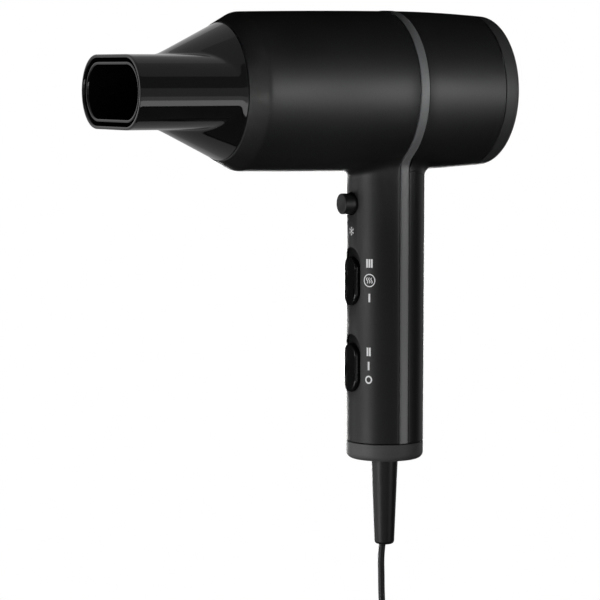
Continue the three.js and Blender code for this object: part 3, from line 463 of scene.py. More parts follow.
class DRYER_OT_finishes(bpy.types.Operator):
    """Make the shared effects and every finish"""
    bl_idname = "dryer.finishes"
    bl_label = "Finishes"

    def execute(self, context):
        moulded_grain()
        handled_surface()
        fine_scratches()
        look = finish()
        pale = (0.42, 0.40, 0.35)
        recipes = {
            "soft_black": dict(colour=look.shell, roughness=0.5, grain=1700.0, bump=0.022, dust=0.4),
            "band_grey": dict(colour=look.band, roughness=0.55, grain=2300.0, bump=0.008),
            "base_grey": dict(colour=look.base, roughness=0.55, grain=2300.0, bump=0.010, dust=0.3),
            "cap_grey": dict(colour=look.cap, roughness=0.56, grain=2000.0, bump=0.015, dust=0.3),
            "filter_mesh": dict(colour=(0.018, 0.018, 0.019), roughness=0.5, grain=2600.0, bump=0.012),
            "gloss_black": dict(
                colour=look.gloss, roughness=0.06, grain=160.0, bump=0.006, spread=0.02, scuffs=0.12, coat=0.3),
            "inner_plastic": dict(colour=(0.012, 0.012, 0.013), roughness=0.55, grain=1100.0, bump=0.03),
            "pale_plastic": dict(colour=pale, roughness=0.5, grain=900.0, bump=0.02, lift=1.12),
            "steel": dict(
                colour=(0.52, 0.53, 0.54), roughness=0.3, grain=700.0, bump=0.006, metallic=1.0, scuffs=0.5),
            "magnet": dict(colour=(0.035, 0.034, 0.034), roughness=0.65, grain=800.0, bump=0.04, metallic=0.4),
            "copper": dict(
                colour=(0.62, 0.27, 0.12), roughness=0.34, grain=500.0, bump=0.05, metallic=1.0, lift=1.3),
            "bronze": dict(colour=(0.42, 0.26, 0.10), roughness=0.42, grain=900.0, bump=0.02, metallic=1.0),
            "mica": dict(colour=(0.36, 0.29, 0.19), roughness=0.55, grain=260.0, bump=0.05, lift=1.6, spread=0.3),
            "heating_wire": dict(
                colour=(0.24, 0.22, 0.21), roughness=0.5, grain=1500.0, bump=0.01, metallic=1.0, spread=0.3),
            "board_green": dict(colour=(0.012, 0.085, 0.030), roughness=0.35, grain=420.0, bump=0.03, lift=1.7),
            "knob_black": dict(colour=look.knob, roughness=0.26, grain=2100.0, bump=0.008, scuffs=0.2),
            "button_black": dict(colour=look.knob, roughness=0.48, grain=2100.0, bump=0.012),
            "cord_black": dict(colour=look.cord, roughness=0.46, specular=0.4, grain=1500.0, bump=0.012, dust=0.3),
            "pin_metal": dict(
                colour=(0.66, 0.62, 0.52), roughness=0.22, grain=600.0, bump=0.004, metallic=1.0, scuffs=0.6),
            "printed_grey": dict(colour=look.print, roughness=0.55, grain=1700.0, bump=0.015, lift=1.05),
        }
        for name, recipe in recipes.items():
            recipe["colour"] = tuple(recipe["colour"])
            FINISHES[name] = moulded_plastic(name, **recipe)
        # The marks' ink also glows white. This is a painted glow, not a lamp, and it brightens the print beyond its
        # own grey colour.
        ink = FINISHES["printed_grey"].node_tree.nodes["Principled BSDF"]
        ink.inputs["Emission Color"].default_value = (1, 1, 1, 1)
        ink.inputs["Emission Strength"].default_value = 0.3
        return {"FINISHED"}


def slot_of_nodes():
    """Which material slot the record gives each node."""
    return {part["node"]: part["material_slot"] for part in frame["record"]["subparts"]}


# ---------------------------------------------------------------- housing
BARREL_BULGE_FRONT = 1.0 * MM
BARREL_BULGE_REAR = 1.8 * MM
SHOULDER_R = BARREL_R - BARREL_BULGE_FRONT
FAR = 0.3
SLOT_HALF_WIDTH = 7.3 * MM
SLOT_HALF_LENGTH = 15.4 * MM
SLOT_WALL = 0.7 * MM
SLOT_RISE = 2.4 * MM
SPEED_Z = middle("speed_lever").z
HEAT_Z = middle("heat_lever").z
COOL_Z = middle("cool_button").z
HOLE_R = 6.1 * MM
BACK_SEAM_R = BARREL_R + 4.5 * MM


def barrel_radius(x):
    """The barrel swells gently towards the trim band."""
    if x < 0:
        return BARREL_R - BARREL_BULGE_FRONT * (x / BARREL_FRONT) ** 2
    return BARREL_R - BARREL_BULGE_REAR * (x / REAR_SEAM_X) ** 2


def handle_radius(z):
    top = BARREL_Z - BARREL_R / 2
    return HANDLE_R + HANDLE_TAPER * (z - BASE_Z) / (top - BASE_Z)


def barrel_side(x0, x1, offset, steps):
    xs = [x0 + (x1 - x0) * i / steps for i in range(steps + 1)]
    return [(barrel_radius(x) + offset, x) for x in xs]


def neck(offset):
    """The fillet under the barrel, which follows the barrel's underside round the handle."""
    fillet = sizes().fillet
    base = handle_radius(GRIP_TOP) + offset
    sunk = base - 0.3 * MM
    turns = [math.radians(8 + 72 * i / 10) for i in range(11)]
    pairs = [(0, -fillet - 2 * MM), (sunk, -fillet - 2 * MM)]
    pairs += [(base + fillet * (1 - math.cos(t)), fillet * (math.sin(t) - 1)) for t in turns]
    last = pairs[-1]
    reach = 1.2 * MM
    pairs += [(last[0] + reach, last[1] + reach * math.tan(math.radians(10))), (0, 2 * MM)]
    solid = turned_z("neck", pairs, sides=96)
    for vertex in solid.data.vertices:
        place = vertex.co
        radius = barrel_radius(place.x) + offset
        place.z += BARREL_Z - math.sqrt(radius ** 2 - place.y ** 2)
    return solid


def outer_form(offset=0.0):
    """The barrel, handle and neck as one solid, with every side moved out by offset."""
    mouth = (MOUTH_R + offset, MOUTH_X)
    shoulder = smooth_corner(
        mouth, (SHOULDER_R + offset, -BARREL_FRONT), (barrel_radius(0) + offset, 0), 6 * MM, 6)
    lip = smooth_corner((MOUTH_R - 3 * MM, MOUTH_X), mouth, shoulder[0], 0.5 * MM, 3)
    front = barrel_side(-BARREL_FRONT + 4 * MM, 0, offset, 8)
    rear = barrel_side(0, REAR_SEAM_X - SEAM / 2 - 0.3 * MM, offset, 6)[1:]
    end = REAR_SEAM_X - SEAM / 2
    closing = [(barrel_radius(end) + offset - 0.3 * MM, end), (0, end)]
    form = turned_x("outer_form", [(0, MOUTH_X), *lip, *shoulder, *front, *rear, *closing])
    bottom = BASE_Z + SEAM / 2
    edge = 0.3 * MM
    steps = [bottom + edge + (GRIP_TOP + 21 * MM - bottom - edge) * i / 8 for i in range(9)]
    handle = turned_z("handle_form", [
        (0, bottom), (handle_radius(bottom) + offset - edge, bottom),
        *[(handle_radius(z) + offset, z) for z in steps], (0, steps[-1])])
    combine(form, handle, "UNION")
    return combine(form, neck(offset), "UNION")


def inner_form():
    """The space inside the shells."""
    wall = sizes().wall
    bore = MOUTH_R - wall
    step = MOUTH_X + 11.2 * MM
    form = turned_x("inner_form", [
        (0, MOUTH_X - MM), (bore, MOUTH_X - MM), (bore, step), *barrel_side(step, 0, -wall, 8),
        *barrel_side(0, REAR_SEAM_X + MM, -wall, 5)[1:], (0, REAR_SEAM_X + MM)])
    top = GRIP_TOP + 20.5 * MM
    handle = turned_z("inner_handle", [
        (0, BASE_Z - MM), (HANDLE_R - wall, BASE_Z - MM), (handle_radius(top) - wall, top), (0, top)])
    return combine(form, handle, "UNION")


def stadium_points(x, half_width, half_length, z, steps=14):
    """A long rounded outline in a plane across X."""
    straight = half_length - half_width
    top = [(x, half_width * math.cos(t), z + straight + half_width * math.sin(t))
           for t in [math.pi * i / steps for i in range(steps + 1)]]
    low = [(x, -y, 2 * z - h) for _, y, h in top]
    return top + low


def on_outside(point):
    radial = math.hypot(point.y, point.z - BARREL_Z)
    return radial > BARREL_R - 1.1 * MM and (abs(point.y) > HANDLE_R - 1.1 * MM or point.z > BARREL_Z)


def edge_middle(edge):
    return (edge.verts[0].co + edge.verts[1].co) / 2


def parting_edge(x):
    """A test for the outside edges on one parting plane."""
    return lambda edge: all(abs(v.co.x - x) < 2e-6 for v in edge.verts) and on_outside(edge_middle(edge))


def rim_edge(edge):
    """A test for the outside rims of the slots and of the button's hole."""
    place = edge_middle(edge)
    radial = math.hypot(place.x, place.y)
    return (
        place.x < -0.75 * HANDLE_R and place.z < GRIP_TOP - 6 * MM and place.z > BASE_Z + 5 * MM
        and abs(place.y) < SLOT_HALF_WIDTH + 0.1 * MM and radial > handle_radius(place.z) - 0.1 * MM
        and len(edge.link_faces) == 2 and edge.calc_face_angle(0) > math.radians(35))


def cut_slots(shell):
    """Cuts the two slots with their pockets, and the button's hole, through the front wall."""
    for knob_z in (SPEED_Z, HEAT_Z):
        slot_middle = knob_z + SLOT_RISE
        points = stadium_points(-0.03, SLOT_HALF_WIDTH, SLOT_HALF_LENGTH, slot_middle)
        combine(shell, prism("slot_tool", points, Vector((0.02, 0, 0))), "DIFFERENCE")
        half = 22.2 * MM
        pocket = turned_z("pocket_tool", [
            (HANDLE_R - 4 * MM, slot_middle - half), (HANDLE_R - SLOT_WALL, slot_middle - half),
            (HANDLE_R - SLOT_WALL, slot_middle + half), (HANDLE_R - 4 * MM, slot_middle + half)])
        side = 10.1 * MM
        combine(pocket, block("pocket_side", (-FAR, -side, -FAR), (0, side, FAR)), "INTERSECT")
        combine(shell, pocket, "DIFFERENCE")
    hole = [(-0.03, HOLE_R * math.cos(t), COOL_Z + HOLE_R * math.sin(t))
            for t in [2 * math.pi * i / 40 for i in range(40)]]
    combine(shell, prism("hole_tool", hole, Vector((0.02, 0, 0))), "DIFFERENCE")


class DRYER_OT_housing(bpy.types.Operator):
    """Model the front and rear shells, the handle's back cover and the trim band"""
    bl_idname = "dryer.housing"
    bl_label = "Housing"

    def execute(self, context):
        edge = sizes().edge
        cavity = inner_form()
        shell = outer_form()
        combine(shell, cavity, "DIFFERENCE", keep=True)
        split = HALF_BAND + SEAM

        front = duplicate(shell, "front_shell")
        combine(front, block("front_side", (-FAR, -FAR, -FAR), (-split, FAR, FAR)), "INTERSECT")
        cut_slots(front)
        round_edges(front, rim_edge, 0.2 * MM, 2)
        round_edges(front, parting_edge(-split), edge)
        finish_piece(front, "housing", "soft_black", FINISHES["soft_black"], "front_housing")

        rear = shell
        combine(rear, block("rear_side", (split, -FAR, -FAR), (FAR, FAR, FAR)), "INTERSECT")
        cover = duplicate(rear, "handle_back")
        rear.name = rear.data.name = "rear_shell"
        rear_tool = turned_x("rear_tool", [(0, -MM), (BACK_SEAM_R, -MM), (BACK_SEAM_R, FAR), (0, FAR)], 192)
        combine(rear, rear_tool, "INTERSECT")
        gap = BACK_SEAM_R + SEAM
        cover_tool = turned_x("cover_tool", [(0, -MM), (gap, -MM), (gap, FAR), (0, FAR)], 192)
        combine(cover, cover_tool, "DIFFERENCE")
        for piece, nodes in ((rear, ["rear_housing"]), (cover, ["handle_back_cover"])):
            round_edges(piece, parting_edge(split), edge)
            finish_piece(piece, "housing", "soft_black", FINISHES["soft_black"], *nodes)

        band = outer_form(BAND_PROUD)
        combine(band, cavity, "DIFFERENCE")
        sides = block("band_side", (-HALF_BAND, -FAR, -FAR), (HALF_BAND, FAR, FAR))
        combine(band, sides, "INTERSECT")
        band.name = band.data.name = "band"
        for x in (-HALF_BAND, HALF_BAND):
            round_edges(band, parting_edge(x), edge)
        finish_piece(band, "housing", "band_grey", FINISHES["band_grey"], "trim_band")
        return {"FINISHED"}


# ---------------------------------------------------------------- caps and grilles
def grid_disc(name, x, outer, hub, rings, spokes, bar, thickness, turn=0.0):
    """A fine round grille: a spun fan of faces, with its openings deleted, then given thickness."""
    pitch = (outer - hub) / rings
    radii = [0.0]
    for i in range(rings + 1):
        middle_r = hub + pitch * i
        radii += [middle_r - bar / 2, middle_r + bar / 2]
    steps = spokes * 4
    obj = outline(name, [(x, 0, BARREL_Z + r) for r in radii])
    with editing(obj):
        bpy.ops.mesh.select_all(action="SELECT")
        bpy.ops.mesh.spin(steps=steps, angle=2 * math.pi, center=BARREL_CENTRE, axis=X_AXIS)
    close_up(obj)
    with editing(obj):
        def is_opening(face):
            place = face.calc_center_median()
            radial = math.hypot(place.y, place.z - BARREL_Z)
            angle = math.atan2(place.y, place.z - BARREL_Z) % (2 * math.pi)
            ring = (radial - hub) / pitch
            in_gap = hub < radial < outer and abs(ring - round(ring)) * pitch > bar / 2
            return in_gap and int(angle / (2 * math.pi) * steps) % 4 != 0
        pick(obj, "FACE", is_opening)
        bpy.ops.mesh.delete(type="FACE")
    choose(obj)
    solid = obj.modifiers.new("Thickness", "SOLIDIFY")
    solid.thickness = thickness
    solid.offset = 0
    bpy.ops.object.modifier_apply(modifier=solid.name)
    return obj


def join_pieces(name, *objects):
    clear_selection()
    for obj in objects:
        obj.select_set(True)
    bpy.context.view_layer.objects.active = objects[0]
    bpy.ops.object.join()
    joined = bpy.context.object
    joined.name = joined.data.name = name
    return joined


class DRYER_OT_caps(bpy.types.Operator):
    """Model the base cap, the rear cap with its intake grille, and the filter behind it"""
    bl_idname = "dryer.caps"
    bl_label = "Caps"

    def execute(self, context):
        top = BASE_Z - SEAM / 2
        lip_r = HANDLE_R - sizes().wall - 0.4 * MM
        lip_inner = lip_r - 1.6 * MM
        floor = BASE_BOTTOM + sizes().wall
        hole = 5.8 * MM
        radius = 3.5 * MM
        lower = arc((HANDLE_R - radius, BASE_BOTTOM + radius), radius, -90, 0, 8)
        cap = turned_z("base", [
            (hole, BASE_BOTTOM), *lower, (HANDLE_R, top - 0.3 * MM), (HANDLE_R - 0.3 * MM, top),
            (lip_r, top), (lip_r, BASE_Z + 5 * MM), (lip_inner, BASE_Z + 5 * MM), (lip_inner, floor),
            (hole, floor)])
        finish_piece(cap, "housing", "base_grey", FINISHES["base_grey"], "base_cap")

        edge = 3 * MM
        x0 = REAR_SEAM_X + SEAM / 2
        slope = -2 * BARREL_BULGE_REAR / REAR_SEAM_X
        edge_x = REAR_X - edge
        edge_r = REAR_R + slope * (edge_x - REAR_SEAM_X)
        opening = REAR_R - 9.2 * MM
        skirt = REAR_R - 3.2 * MM
        inside = REAR_X - 2 * MM
        corner = [(edge_r - edge + (p[0]), edge_x + p[1]) for p in arc((0, 0), edge, 0, 90, 8)]
        ring = turned_x("intake_cap", [
            (REAR_R - 0.3 * MM, x0), (REAR_R, x0 + 0.3 * MM), *corner,
            (opening + 0.4 * MM, REAR_X), (opening, REAR_X - 0.4 * MM), (opening, inside),
            (skirt - 1.6 * MM, inside), (skirt - 1.6 * MM, x0 - 3.4 * MM), (skirt, x0 - 3.4 * MM), (skirt, x0)])
        bars = grid_disc(
            "intake_bars", REAR_X - 1.3 * MM, opening + 0.6 * MM, 7 * MM, 8, 24, 1.1 * MM, 1.4 * MM)
        hub = turned_x("intake_hub", [
            (0, inside), (7.4 * MM, inside), (7.4 * MM, REAR_X - 0.8 * MM), (6.8 * MM, REAR_X - 0.3 * MM),
            (0, REAR_X - 0.1 * MM)], 48)
        cap = join_pieces("intake_cap", ring, bars, hub)
        finish_piece(cap, "rear_cover", "base_grey", FINISHES["cap_grey"], "rear_cap")

        low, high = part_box("intake_filter")
        screen = grid_disc(
            "filter_screen", (low.x + high.x) / 2, high.y - 1.2 * MM, 2 * MM, 26, 60, 0.35 * MM, 0.4 * MM)
        rim = turned_x("filter_rim", [
            (high.y - 1.6 * MM, low.x), (high.y - 0.2 * MM, low.x), (high.y, low.x + 0.2 * MM),
            (high.y, high.x), (high.y - 1.6 * MM, high.x)], 96)
        mesh = join_pieces("filter", screen, rim)
        finish_piece(mesh, "rear_cover", "filter_mesh", FINISHES["filter_mesh"], "intake_filter")
        return {"FINISHED"}


class DRYER_OT_outlet(bpy.types.Operator):
    """Model the nozzle's collar, and the ring, grille and ion needle in the mouth"""
    bl_idname = "dryer.outlet"
    bl_label = "Outlet"

    def execute(self, context):
        inner = FINISHES["inner_plastic"]
        low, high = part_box("outlet_grille")
        bars = grid_disc(
            "outlet_bars", (low.x + high.x) / 2, high.y - 0.5 * MM, 5 * MM, 5, 12, 0.9 * MM, 1.8 * MM)
        finish_piece(bars, "housing", "inner_plastic", inner, "outlet_grille")

        low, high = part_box("ion_emitter")
        needle = turned_x("ion_needle", [
            (0, low.x), (0.35 * MM, low.x + 0.5 * MM), (0.5 * MM, low.x + 1.6 * MM), (2.2 * MM, low.x + 2.6 * MM),
            (2.6 * MM, low.x + 3.2 * MM), (2.6 * MM, high.x), (0, high.x)], 32)
        finish_piece(needle, "housing", "pale_plastic", FINISHES["pale_plastic"], "ion_emitter")

        low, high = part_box("outlet_ring")
        reach = 1.4 * MM
        ring_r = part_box("outlet_grille")[1].y + 1.8 * MM
        bore = ring_r - 1.5 * MM
        step = high.x - reach
        ring = turned_x("outlet_rim", [
            (bore, low.x + 0.3 * MM), (bore + 0.3 * MM, low.x), (ring_r - 0.3 * MM, low.x), (ring_r, low.x + 0.3 * MM),
            (ring_r, step), (high.y - 0.1 * MM, step), (high.y - 0.1 * MM, high.x), (bore, high.x)], 96)
        finish_piece(ring, "housing", "inner_plastic", inner, "outlet_ring")

        low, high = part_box("nozzle_collar")
        outer = MOUTH_R - sizes().wall - 0.55 * MM
        flange = MOUTH_R - 0.2 * MM - 1.7 * MM - 0.788 * MM
        wall = 1.8 * MM
        collar = turned_x("swivel_collar", [
            (outer - wall, low.x), (flange - 0.2 * MM, low.x), (flange, low.x + 0.2 * MM),
            (flange, MOUTH_X - 0.4 * MM), (outer, MOUTH_X - 0.4 * MM), (outer, high.x - 0.4 * MM),
            (outer - 0.4 * MM, high.x), (outer - wall, high.x)], 96)
        finish_piece(collar, "nozzle_swivel", "inner_plastic", inner, "nozzle_collar")
        return {"FINISHED"}


# ---------------------------------------------------------------- nozzle
NOZZLE_LENGTH = MOUTH_X - TIP_X
NOZZLE_SLOPE = 0.488
NOZZLE_ROOT_R = MOUTH_R - 0.2 * MM
TIP_HALF_WIDTH = 36.8 * MM
TIP_HALF_HEIGHT = 18.9 * MM
START_R = 30 * MM


def nozzle_radius(x, angle, inset, crease):
    """The nozzle's outline about its axis: a cone, softly joined to a flattened tube."""
    forward = MOUTH_X - x
    cone = NOZZLE_ROOT_R - inset - forward * NOZZLE_SLOPE
    root_width = MOUTH_R - 0.5 * MM
    width = root_width + (TIP_HALF_WIDTH - root_width) * forward / NOZZLE_LENGTH - inset
    height = TIP_HALF_HEIGHT - inset
    across, up = abs(math.sin(angle)), abs(math.cos(angle))
    flat = width - height
    tube = height / up if up > 1e-9 else FAR
    if tube * across > flat:
        tube = flat * across + math.sqrt(max(height ** 2 - (flat * up) ** 2, 0))
    gap = math.sqrt((cone - tube) ** 2 + crease ** 2) - crease * 0.35
    return max((cone + tube + gap) / 2, tube)


def nozzle_wall(name, root, tip, inset, wall):
    """A closed wall of the nozzle: spun as a plain tube, then shaped to the outline."""
    lip = 0.35 * MM
    xs = [root + (tip + lip - root) * i / 54 for i in range(55)]
    outer = [(inset + lip, root), (inset, root - lip), *[(inset, x) for x in xs[1:]]]
    end = [(inset + 0.12 * MM, tip + 0.1 * MM), (inset + lip, tip)]
    back = [(inset + wall - lip, tip), (inset + wall, tip + lip)]
    inner = [(inset + wall, x) for x in reversed(xs[1:-1])] + [(inset + wall, root)]
    pairs = [(START_R - depth, x) for depth, x in outer + end + back + inner]
    solid = turned_x(name, pairs, 160)
    crease = sizes().nozzle_crease
    for vertex in solid.data.vertices:
        y, z = vertex.co.y, vertex.co.z - BARREL_Z
        depth = START_R - math.hypot(y, z)
        angle = math.atan2(y, z)
        radius = nozzle_radius(vertex.co.x, angle, depth, crease)
        vertex.co.y = radius * math.sin(angle)
        vertex.co.z = BARREL_Z + radius * math.cos(angle)
    return solid


class DRYER_OT_nozzle(bpy.types.Operator):
    """Model the concentrator nozzle's outer shell and the duct inside it"""
    bl_idname = "dryer.nozzle"
    bl_label = "Nozzle"

    def execute(self, context):
        wall = sizes().nozzle_wall
        shell = nozzle_wall("nozzle_outer", MOUTH_X - SEAM, TIP_X, 0.0, wall)
        finish_piece(shell, "nozzle", "gloss_black", FINISHES["gloss_black"], "nozzle_shell", angle=50)
        low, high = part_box("nozzle_duct")
        duct = nozzle_wall("nozzle_inner", high.x, low.x, wall + 2 * MM, 1.5 * MM)
        finish_piece(duct, "nozzle", "gloss_black", FINISHES["gloss_black"], "nozzle_duct", angle=50)
        return {"FINISHED"}


# ---------------------------------------------------------------- switches
KNOB_HALF_WIDTH = 6.3 * MM
KNOB_HALF_LENGTH = 12.8 * MM
KNOB_PROUD = 1.8 * MM
SADDLE = 0.8 * MM
PLATE_R = HANDLE_R - SLOT_WALL - 0.35 * MM


def slide_knob(z):
    """A thumb slide: the hollowed grip, the curved plate behind the wall, and the fork for its lever."""
    inner_r = HANDLE_R - sizes().wall
    face = handle_radius(z) + KNOB_PROUD
    back = 1.2 * MM - inner_r
    points = stadium_points(-face - MM, KNOB_HALF_WIDTH, KNOB_HALF_LENGTH, z, 16)
    grip = prism("slide", points, Vector((back + face + MM, 0, 0)))
    low, high = z - 2 * KNOB_HALF_LENGTH, z + 2 * KNOB_HALF_LENGTH
    combine(grip, turned_z("slide_face", [(0, low), (face, low), (face, high), (0, high)], 160), "INTERSECT")
    hollow_r = (2 * KNOB_HALF_LENGTH) ** 2 / (10 * SADDLE)
    clear_selection()
    bpy.ops.mesh.primitive_cylinder_add(
        vertices=360, radius=hollow_r, depth=0.04, rotation=(math.pi / 2, 0, 0),
        location=(-face + SADDLE - hollow_r, 0, z))
    bpy.ops.object.transform_apply(location=True, rotation=True, scale=True)
    combine(grip, bpy.context.object, "DIFFERENCE")
    round_edges(
        grip, lambda e: e.calc_face_angle(0) > math.radians(45) and edge_middle(e).x < -inner_r - 1.2 * MM,
        0.7 * MM, 4)
    half = 19.2 * MM
    side = 8.9 * MM
    plate = turned_z("slide_plate", [
        (PLATE_R - 1.1 * MM, z - half), (PLATE_R, z - half), (PLATE_R, z + half), (PLATE_R - 1.1 * MM, z + half)])
    combine(plate, block("plate_side", (-FAR, -side, -FAR), (0, side, FAR)), "INTERSECT")
    combine(grip, plate, "UNION")
    arm_y, arm_z = 5.4 * MM, 4.9 * MM
    fork = block("slide_fork", (0.3 * MM - PLATE_R, -arm_y, z - arm_z), (5.2 * MM - inner_r, arm_y, z + arm_z))
    combine(grip, fork, "UNION")
    pocket_y, pocket_z = 3.3 * MM, 2.8 * MM
    pocket = block(
        "slide_pocket", (2.5 * MM - inner_r, -pocket_y, z - pocket_z), (0, pocket_y, z + pocket_z))
    return combine(grip, pocket, "DIFFERENCE")


def match_plate(knob):
    """Gives the curved plate round a thumb grip the housing's finish."""
    knob.data.materials.append(FINISHES["soft_black"])
    for face in knob.data.polygons:
        outward = Vector((face.center.x, face.center.y, 0))
        level = abs(outward.length - PLATE_R) < 0.06 * MM
        if level and face.normal.dot(outward.normalized()) > 0.9:
            face.material_index = 1


class DRYER_OT_switches(bpy.types.Operator):
    """Model the two thumb slides and the cool button"""
    bl_idname = "dryer.switches"
    bl_label = "Switches"

    def execute(self, context):
        black = FINISHES["knob_black"]
        speed = slide_knob(SPEED_Z)
        heat = duplicate(speed, "heat_slider")
        speed.name = speed.data.name = "speed_slider"
        with editing(heat):
            bpy.ops.mesh.select_all(action="SELECT")
            bpy.ops.transform.translate(value=(0, 0, HEAT_Z - SPEED_Z))
        finish_piece(speed, "speed_slide", "knob_black", black, "speed_knob")
        finish_piece(heat, "heat_slide", "knob_black", black, "heat_knob")
        match_plate(speed)
        match_plate(heat)

        low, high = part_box("cool_button")
        radius = 5.45 * MM
        flange_r = 7 * MM
        flange = high.x
        round_r = 0.45 * MM
        rim = [(low.x + round_r - p[1], radius - round_r + p[0]) for p in arc((0, 0), round_r, 90, 0, 6)]
        pairs = [(low.x + 0.35 * MM, 0), (low.x + 0.33 * MM, 1.5 * MM), (low.x + 0.2 * MM, 3 * MM), *rim,
                 (flange - 1.2 * MM, radius), (flange - 1.2 * MM, flange_r), (flange, flange_r), (flange, 0)]
        points = [(x, 0, COOL_Z + r) for x, r in pairs]
        button = spun("cool_key", points, (0, 0, COOL_Z), X_AXIS, 64)
        finish_piece(button, "cool_push", "knob_black", FINISHES["button_black"], "cool_button")
        return {"FINISHED"}


# ---------------------------------------------------------------- printed marks
INK = 0.04 * MM


def ink_bar(name, u, v, width, height, turn=0.0):
    """A printed stroke, drawn flat at (u, v) in millimetres from the mark's middle."""
    clear_selection()
    bpy.ops.mesh.primitive_grid_add(x_subdivisions=2, y_subdivisions=3, size=1, location=(u * MM, v * MM, 0))
    obj = bpy.context.object
    obj.name = obj.data.name = name
    obj.scale = (width * MM, height * MM, 1)
    obj.rotation_euler = (0, 0, math.radians(turn))
    bpy.ops.object.transform_apply(location=True, rotation=True, scale=True)
    return obj


def ink_ring(name, u, v, half_width, half_height, stroke):
    """A printed oval line."""
    obj = outline(name, [((half_width - stroke) * MM, 0, 0), (half_width * MM, 0, 0)])
    with editing(obj):
        bpy.ops.mesh.select_all(action="SELECT")
        bpy.ops.mesh.spin(steps=40, angle=2 * math.pi, center=(0, 0, 0), axis=Z_AXIS)
    obj.scale = (1, half_height / half_width, 1)
    obj.location = (u * MM, v * MM, 0)
    choose(obj)
    bpy.ops.object.transform_apply(location=True, rotation=True, scale=True)
    close_up(obj)
    return obj


def ink_wave(name, u, height, sway, stroke):
    """A printed wavy line, for warm air."""
    points = [((u + sway * math.sin(2 * math.pi * i / 16)) * MM, (i / 16 - 0.5) * height * MM, 0) for i in range(17)]
    obj = outline(name, points)
    with editing(obj):
        bpy.ops.mesh.select_all(action="SELECT")
        bpy.ops.mesh.extrude_edges_move(TRANSFORM_OT_translate={"value": (stroke * MM, 0, 0)})
    return obj


def wrap_mark(strokes, name, angle, z):
    """Joins strokes into one mark, lays it on the handle at an angle and height, and gives the ink its thickness."""
    mark = join_pieces(name, *strokes)
    turn = math.radians(angle)
    for vertex in mark.data.vertices:
        height = z + vertex.co.y
        radius = handle_radius(height) + INK / 2
        around = turn + vertex.co.x / radius
        vertex.co = (-radius * math.cos(around), -radius * math.sin(around), height)
    close_up(mark, outward=False)
    choose(mark)
    ink = mark.modifiers.new("Ink", "SOLIDIFY")
    ink.thickness = INK
    ink.offset = 0
    bpy.ops.object.modifier_apply(modifier=ink.name)
    finish_piece(mark, "housing", "printed_grey", FINISHES["printed_grey"])


def numeral(name, strokes, angle, z):
    """A step mark of one, two or three strokes."""
    pitch = 1.35
    width = 1.0
    bars = [ink_bar("stroke", (i - (strokes - 1) / 2) * pitch, 0, width, 4.5) for i in range(strokes)]
    wrap_mark(bars, name, angle, z * MM)


class DRYER_OT_marks(bpy.types.Operator):
    """Print the step marks, the warm air mark and the snowflake on the handle"""
    bl_idname = "dryer.marks"
    bl_label = "Marks"

    def execute(self, context):
        numeral("heat_mark_three", 3, 37, 24.8)
        numeral("heat_mark_one", 1, 37, 6.6)
        numeral("speed_mark_two", 2, 36, -21.9)
        numeral("speed_mark_one", 1, 36, -29.4)
        wrap_mark([ink_ring("stroke", 0, 0, 2.0, 2.2, 0.75)], "speed_mark_off", 36, -36.7 * MM)
        waves = [ink_wave("stroke", u - 0.25, 3.0, 0.35, 0.5) for u in (-1.25, 0, 1.25)]
        waves.append(ink_ring("stroke", 0, 0, 3.3, 3.5, 0.5))
        wrap_mark(waves, "heat_mark_air", 37, 15.8 * MM)
        flake = []
        for turn in (0, 60, 120):
            flake.append(ink_bar("stroke", 0, 0, 0.26, 4.6, turn))
            for side in (-1, 1):
                for lean in (-45, 45):
                    up = Matrix.Rotation(math.radians(turn), 2) @ Vector((0.28 * lean / 45, side * 1.75))
                    flake.append(ink_bar("stroke", up.x, up.y, 0.22, 0.85, turn - side * lean))
        wrap_mark(flake, "cool_mark", 1.5, 41.3 * MM)
        return {"FINISHED"}


# ---------------------------------------------------------------- strain relief, cord and plug
CORD_EXIT = Vector((-0.0012, 0, BOOT_END))
DROP_ROUTE = [
    (-1.2, 0, -126.5), (-1.9, 0, -134), (-1.8, 0, -144), (-1.6, 0, -153.9), (-1.6, -0.9, -160.7),
    (-1.4, -3.5, -167), (-0.8, -7.6, -172.3),
]
TAIL_ROUTE = [
    (26, 34.85, -197.05), (18.5, 34.83, -197), (11, 34.8, -197), (3, 34.3, -196.9), (-5, 31.6, -195.6),
    (-13, 26.5, -192.6), (-21, 21.6, -189.2), (-26.5, 20.2, -188.1), (-29.6, 20, -188),
]
COIL_CENTRE = Vector((33.25, 0))
COIL_PLACES = [
    (34.85, -179.95), (29.15, -179.95), (29.15, -185.65), (34.85, -185.65),
    (34.85, -191.35), (29.15, -191.35), (29.15, -197.05), (34.85, -197.05),
]
COIL_TURNS = 7.63
TURNS_PER_PLACE = 0.95
CROSSING = 0.08
JOIN_ANGLE = 222.7
JOIN_RADIUS = 26.0
POINTS_PER_TURN = 48


def smooth_step(value):
    value = min(max(value, 0.0), 1.0)
    return value * value * (3 - 2 * value)


def coil_points():
    """The cord eases onto the top layer, then winds down through the places of its section."""
    points = []
    first_r, first_z = COIL_PLACES[0]
    drop = -172.3 - first_z
    lead = math.acos(1 - drop / JOIN_RADIUS)
    for i in range(1, 8):
        a = lead * (1 - i / 8)
        angle = math.radians(JOIN_ANGLE) - JOIN_RADIUS * math.sin(a) / first_r
        points.append((angle, first_r, first_z + JOIN_RADIUS * (1 - math.cos(a))))
    for i in range(round(COIL_TURNS * POINTS_PER_TURN) + 1):
        turns = i / POINTS_PER_TURN
        radius, z = first_r, first_z
        for k in range(1, len(COIL_PLACES)):
            share = smooth_step((turns - k * TURNS_PER_PLACE) / (2 * CROSSING) + 0.5)
            radius += (COIL_PLACES[k][0] - COIL_PLACES[k - 1][0]) * share
            z += (COIL_PLACES[k][1] - COIL_PLACES[k - 1][1]) * share
        points.append((math.radians(JOIN_ANGLE) + 2 * math.pi * turns, radius, z))
    return [(COIL_CENTRE.x + r * math.cos(a), COIL_CENTRE.y + r * math.sin(a), z) for a, r, z in points]


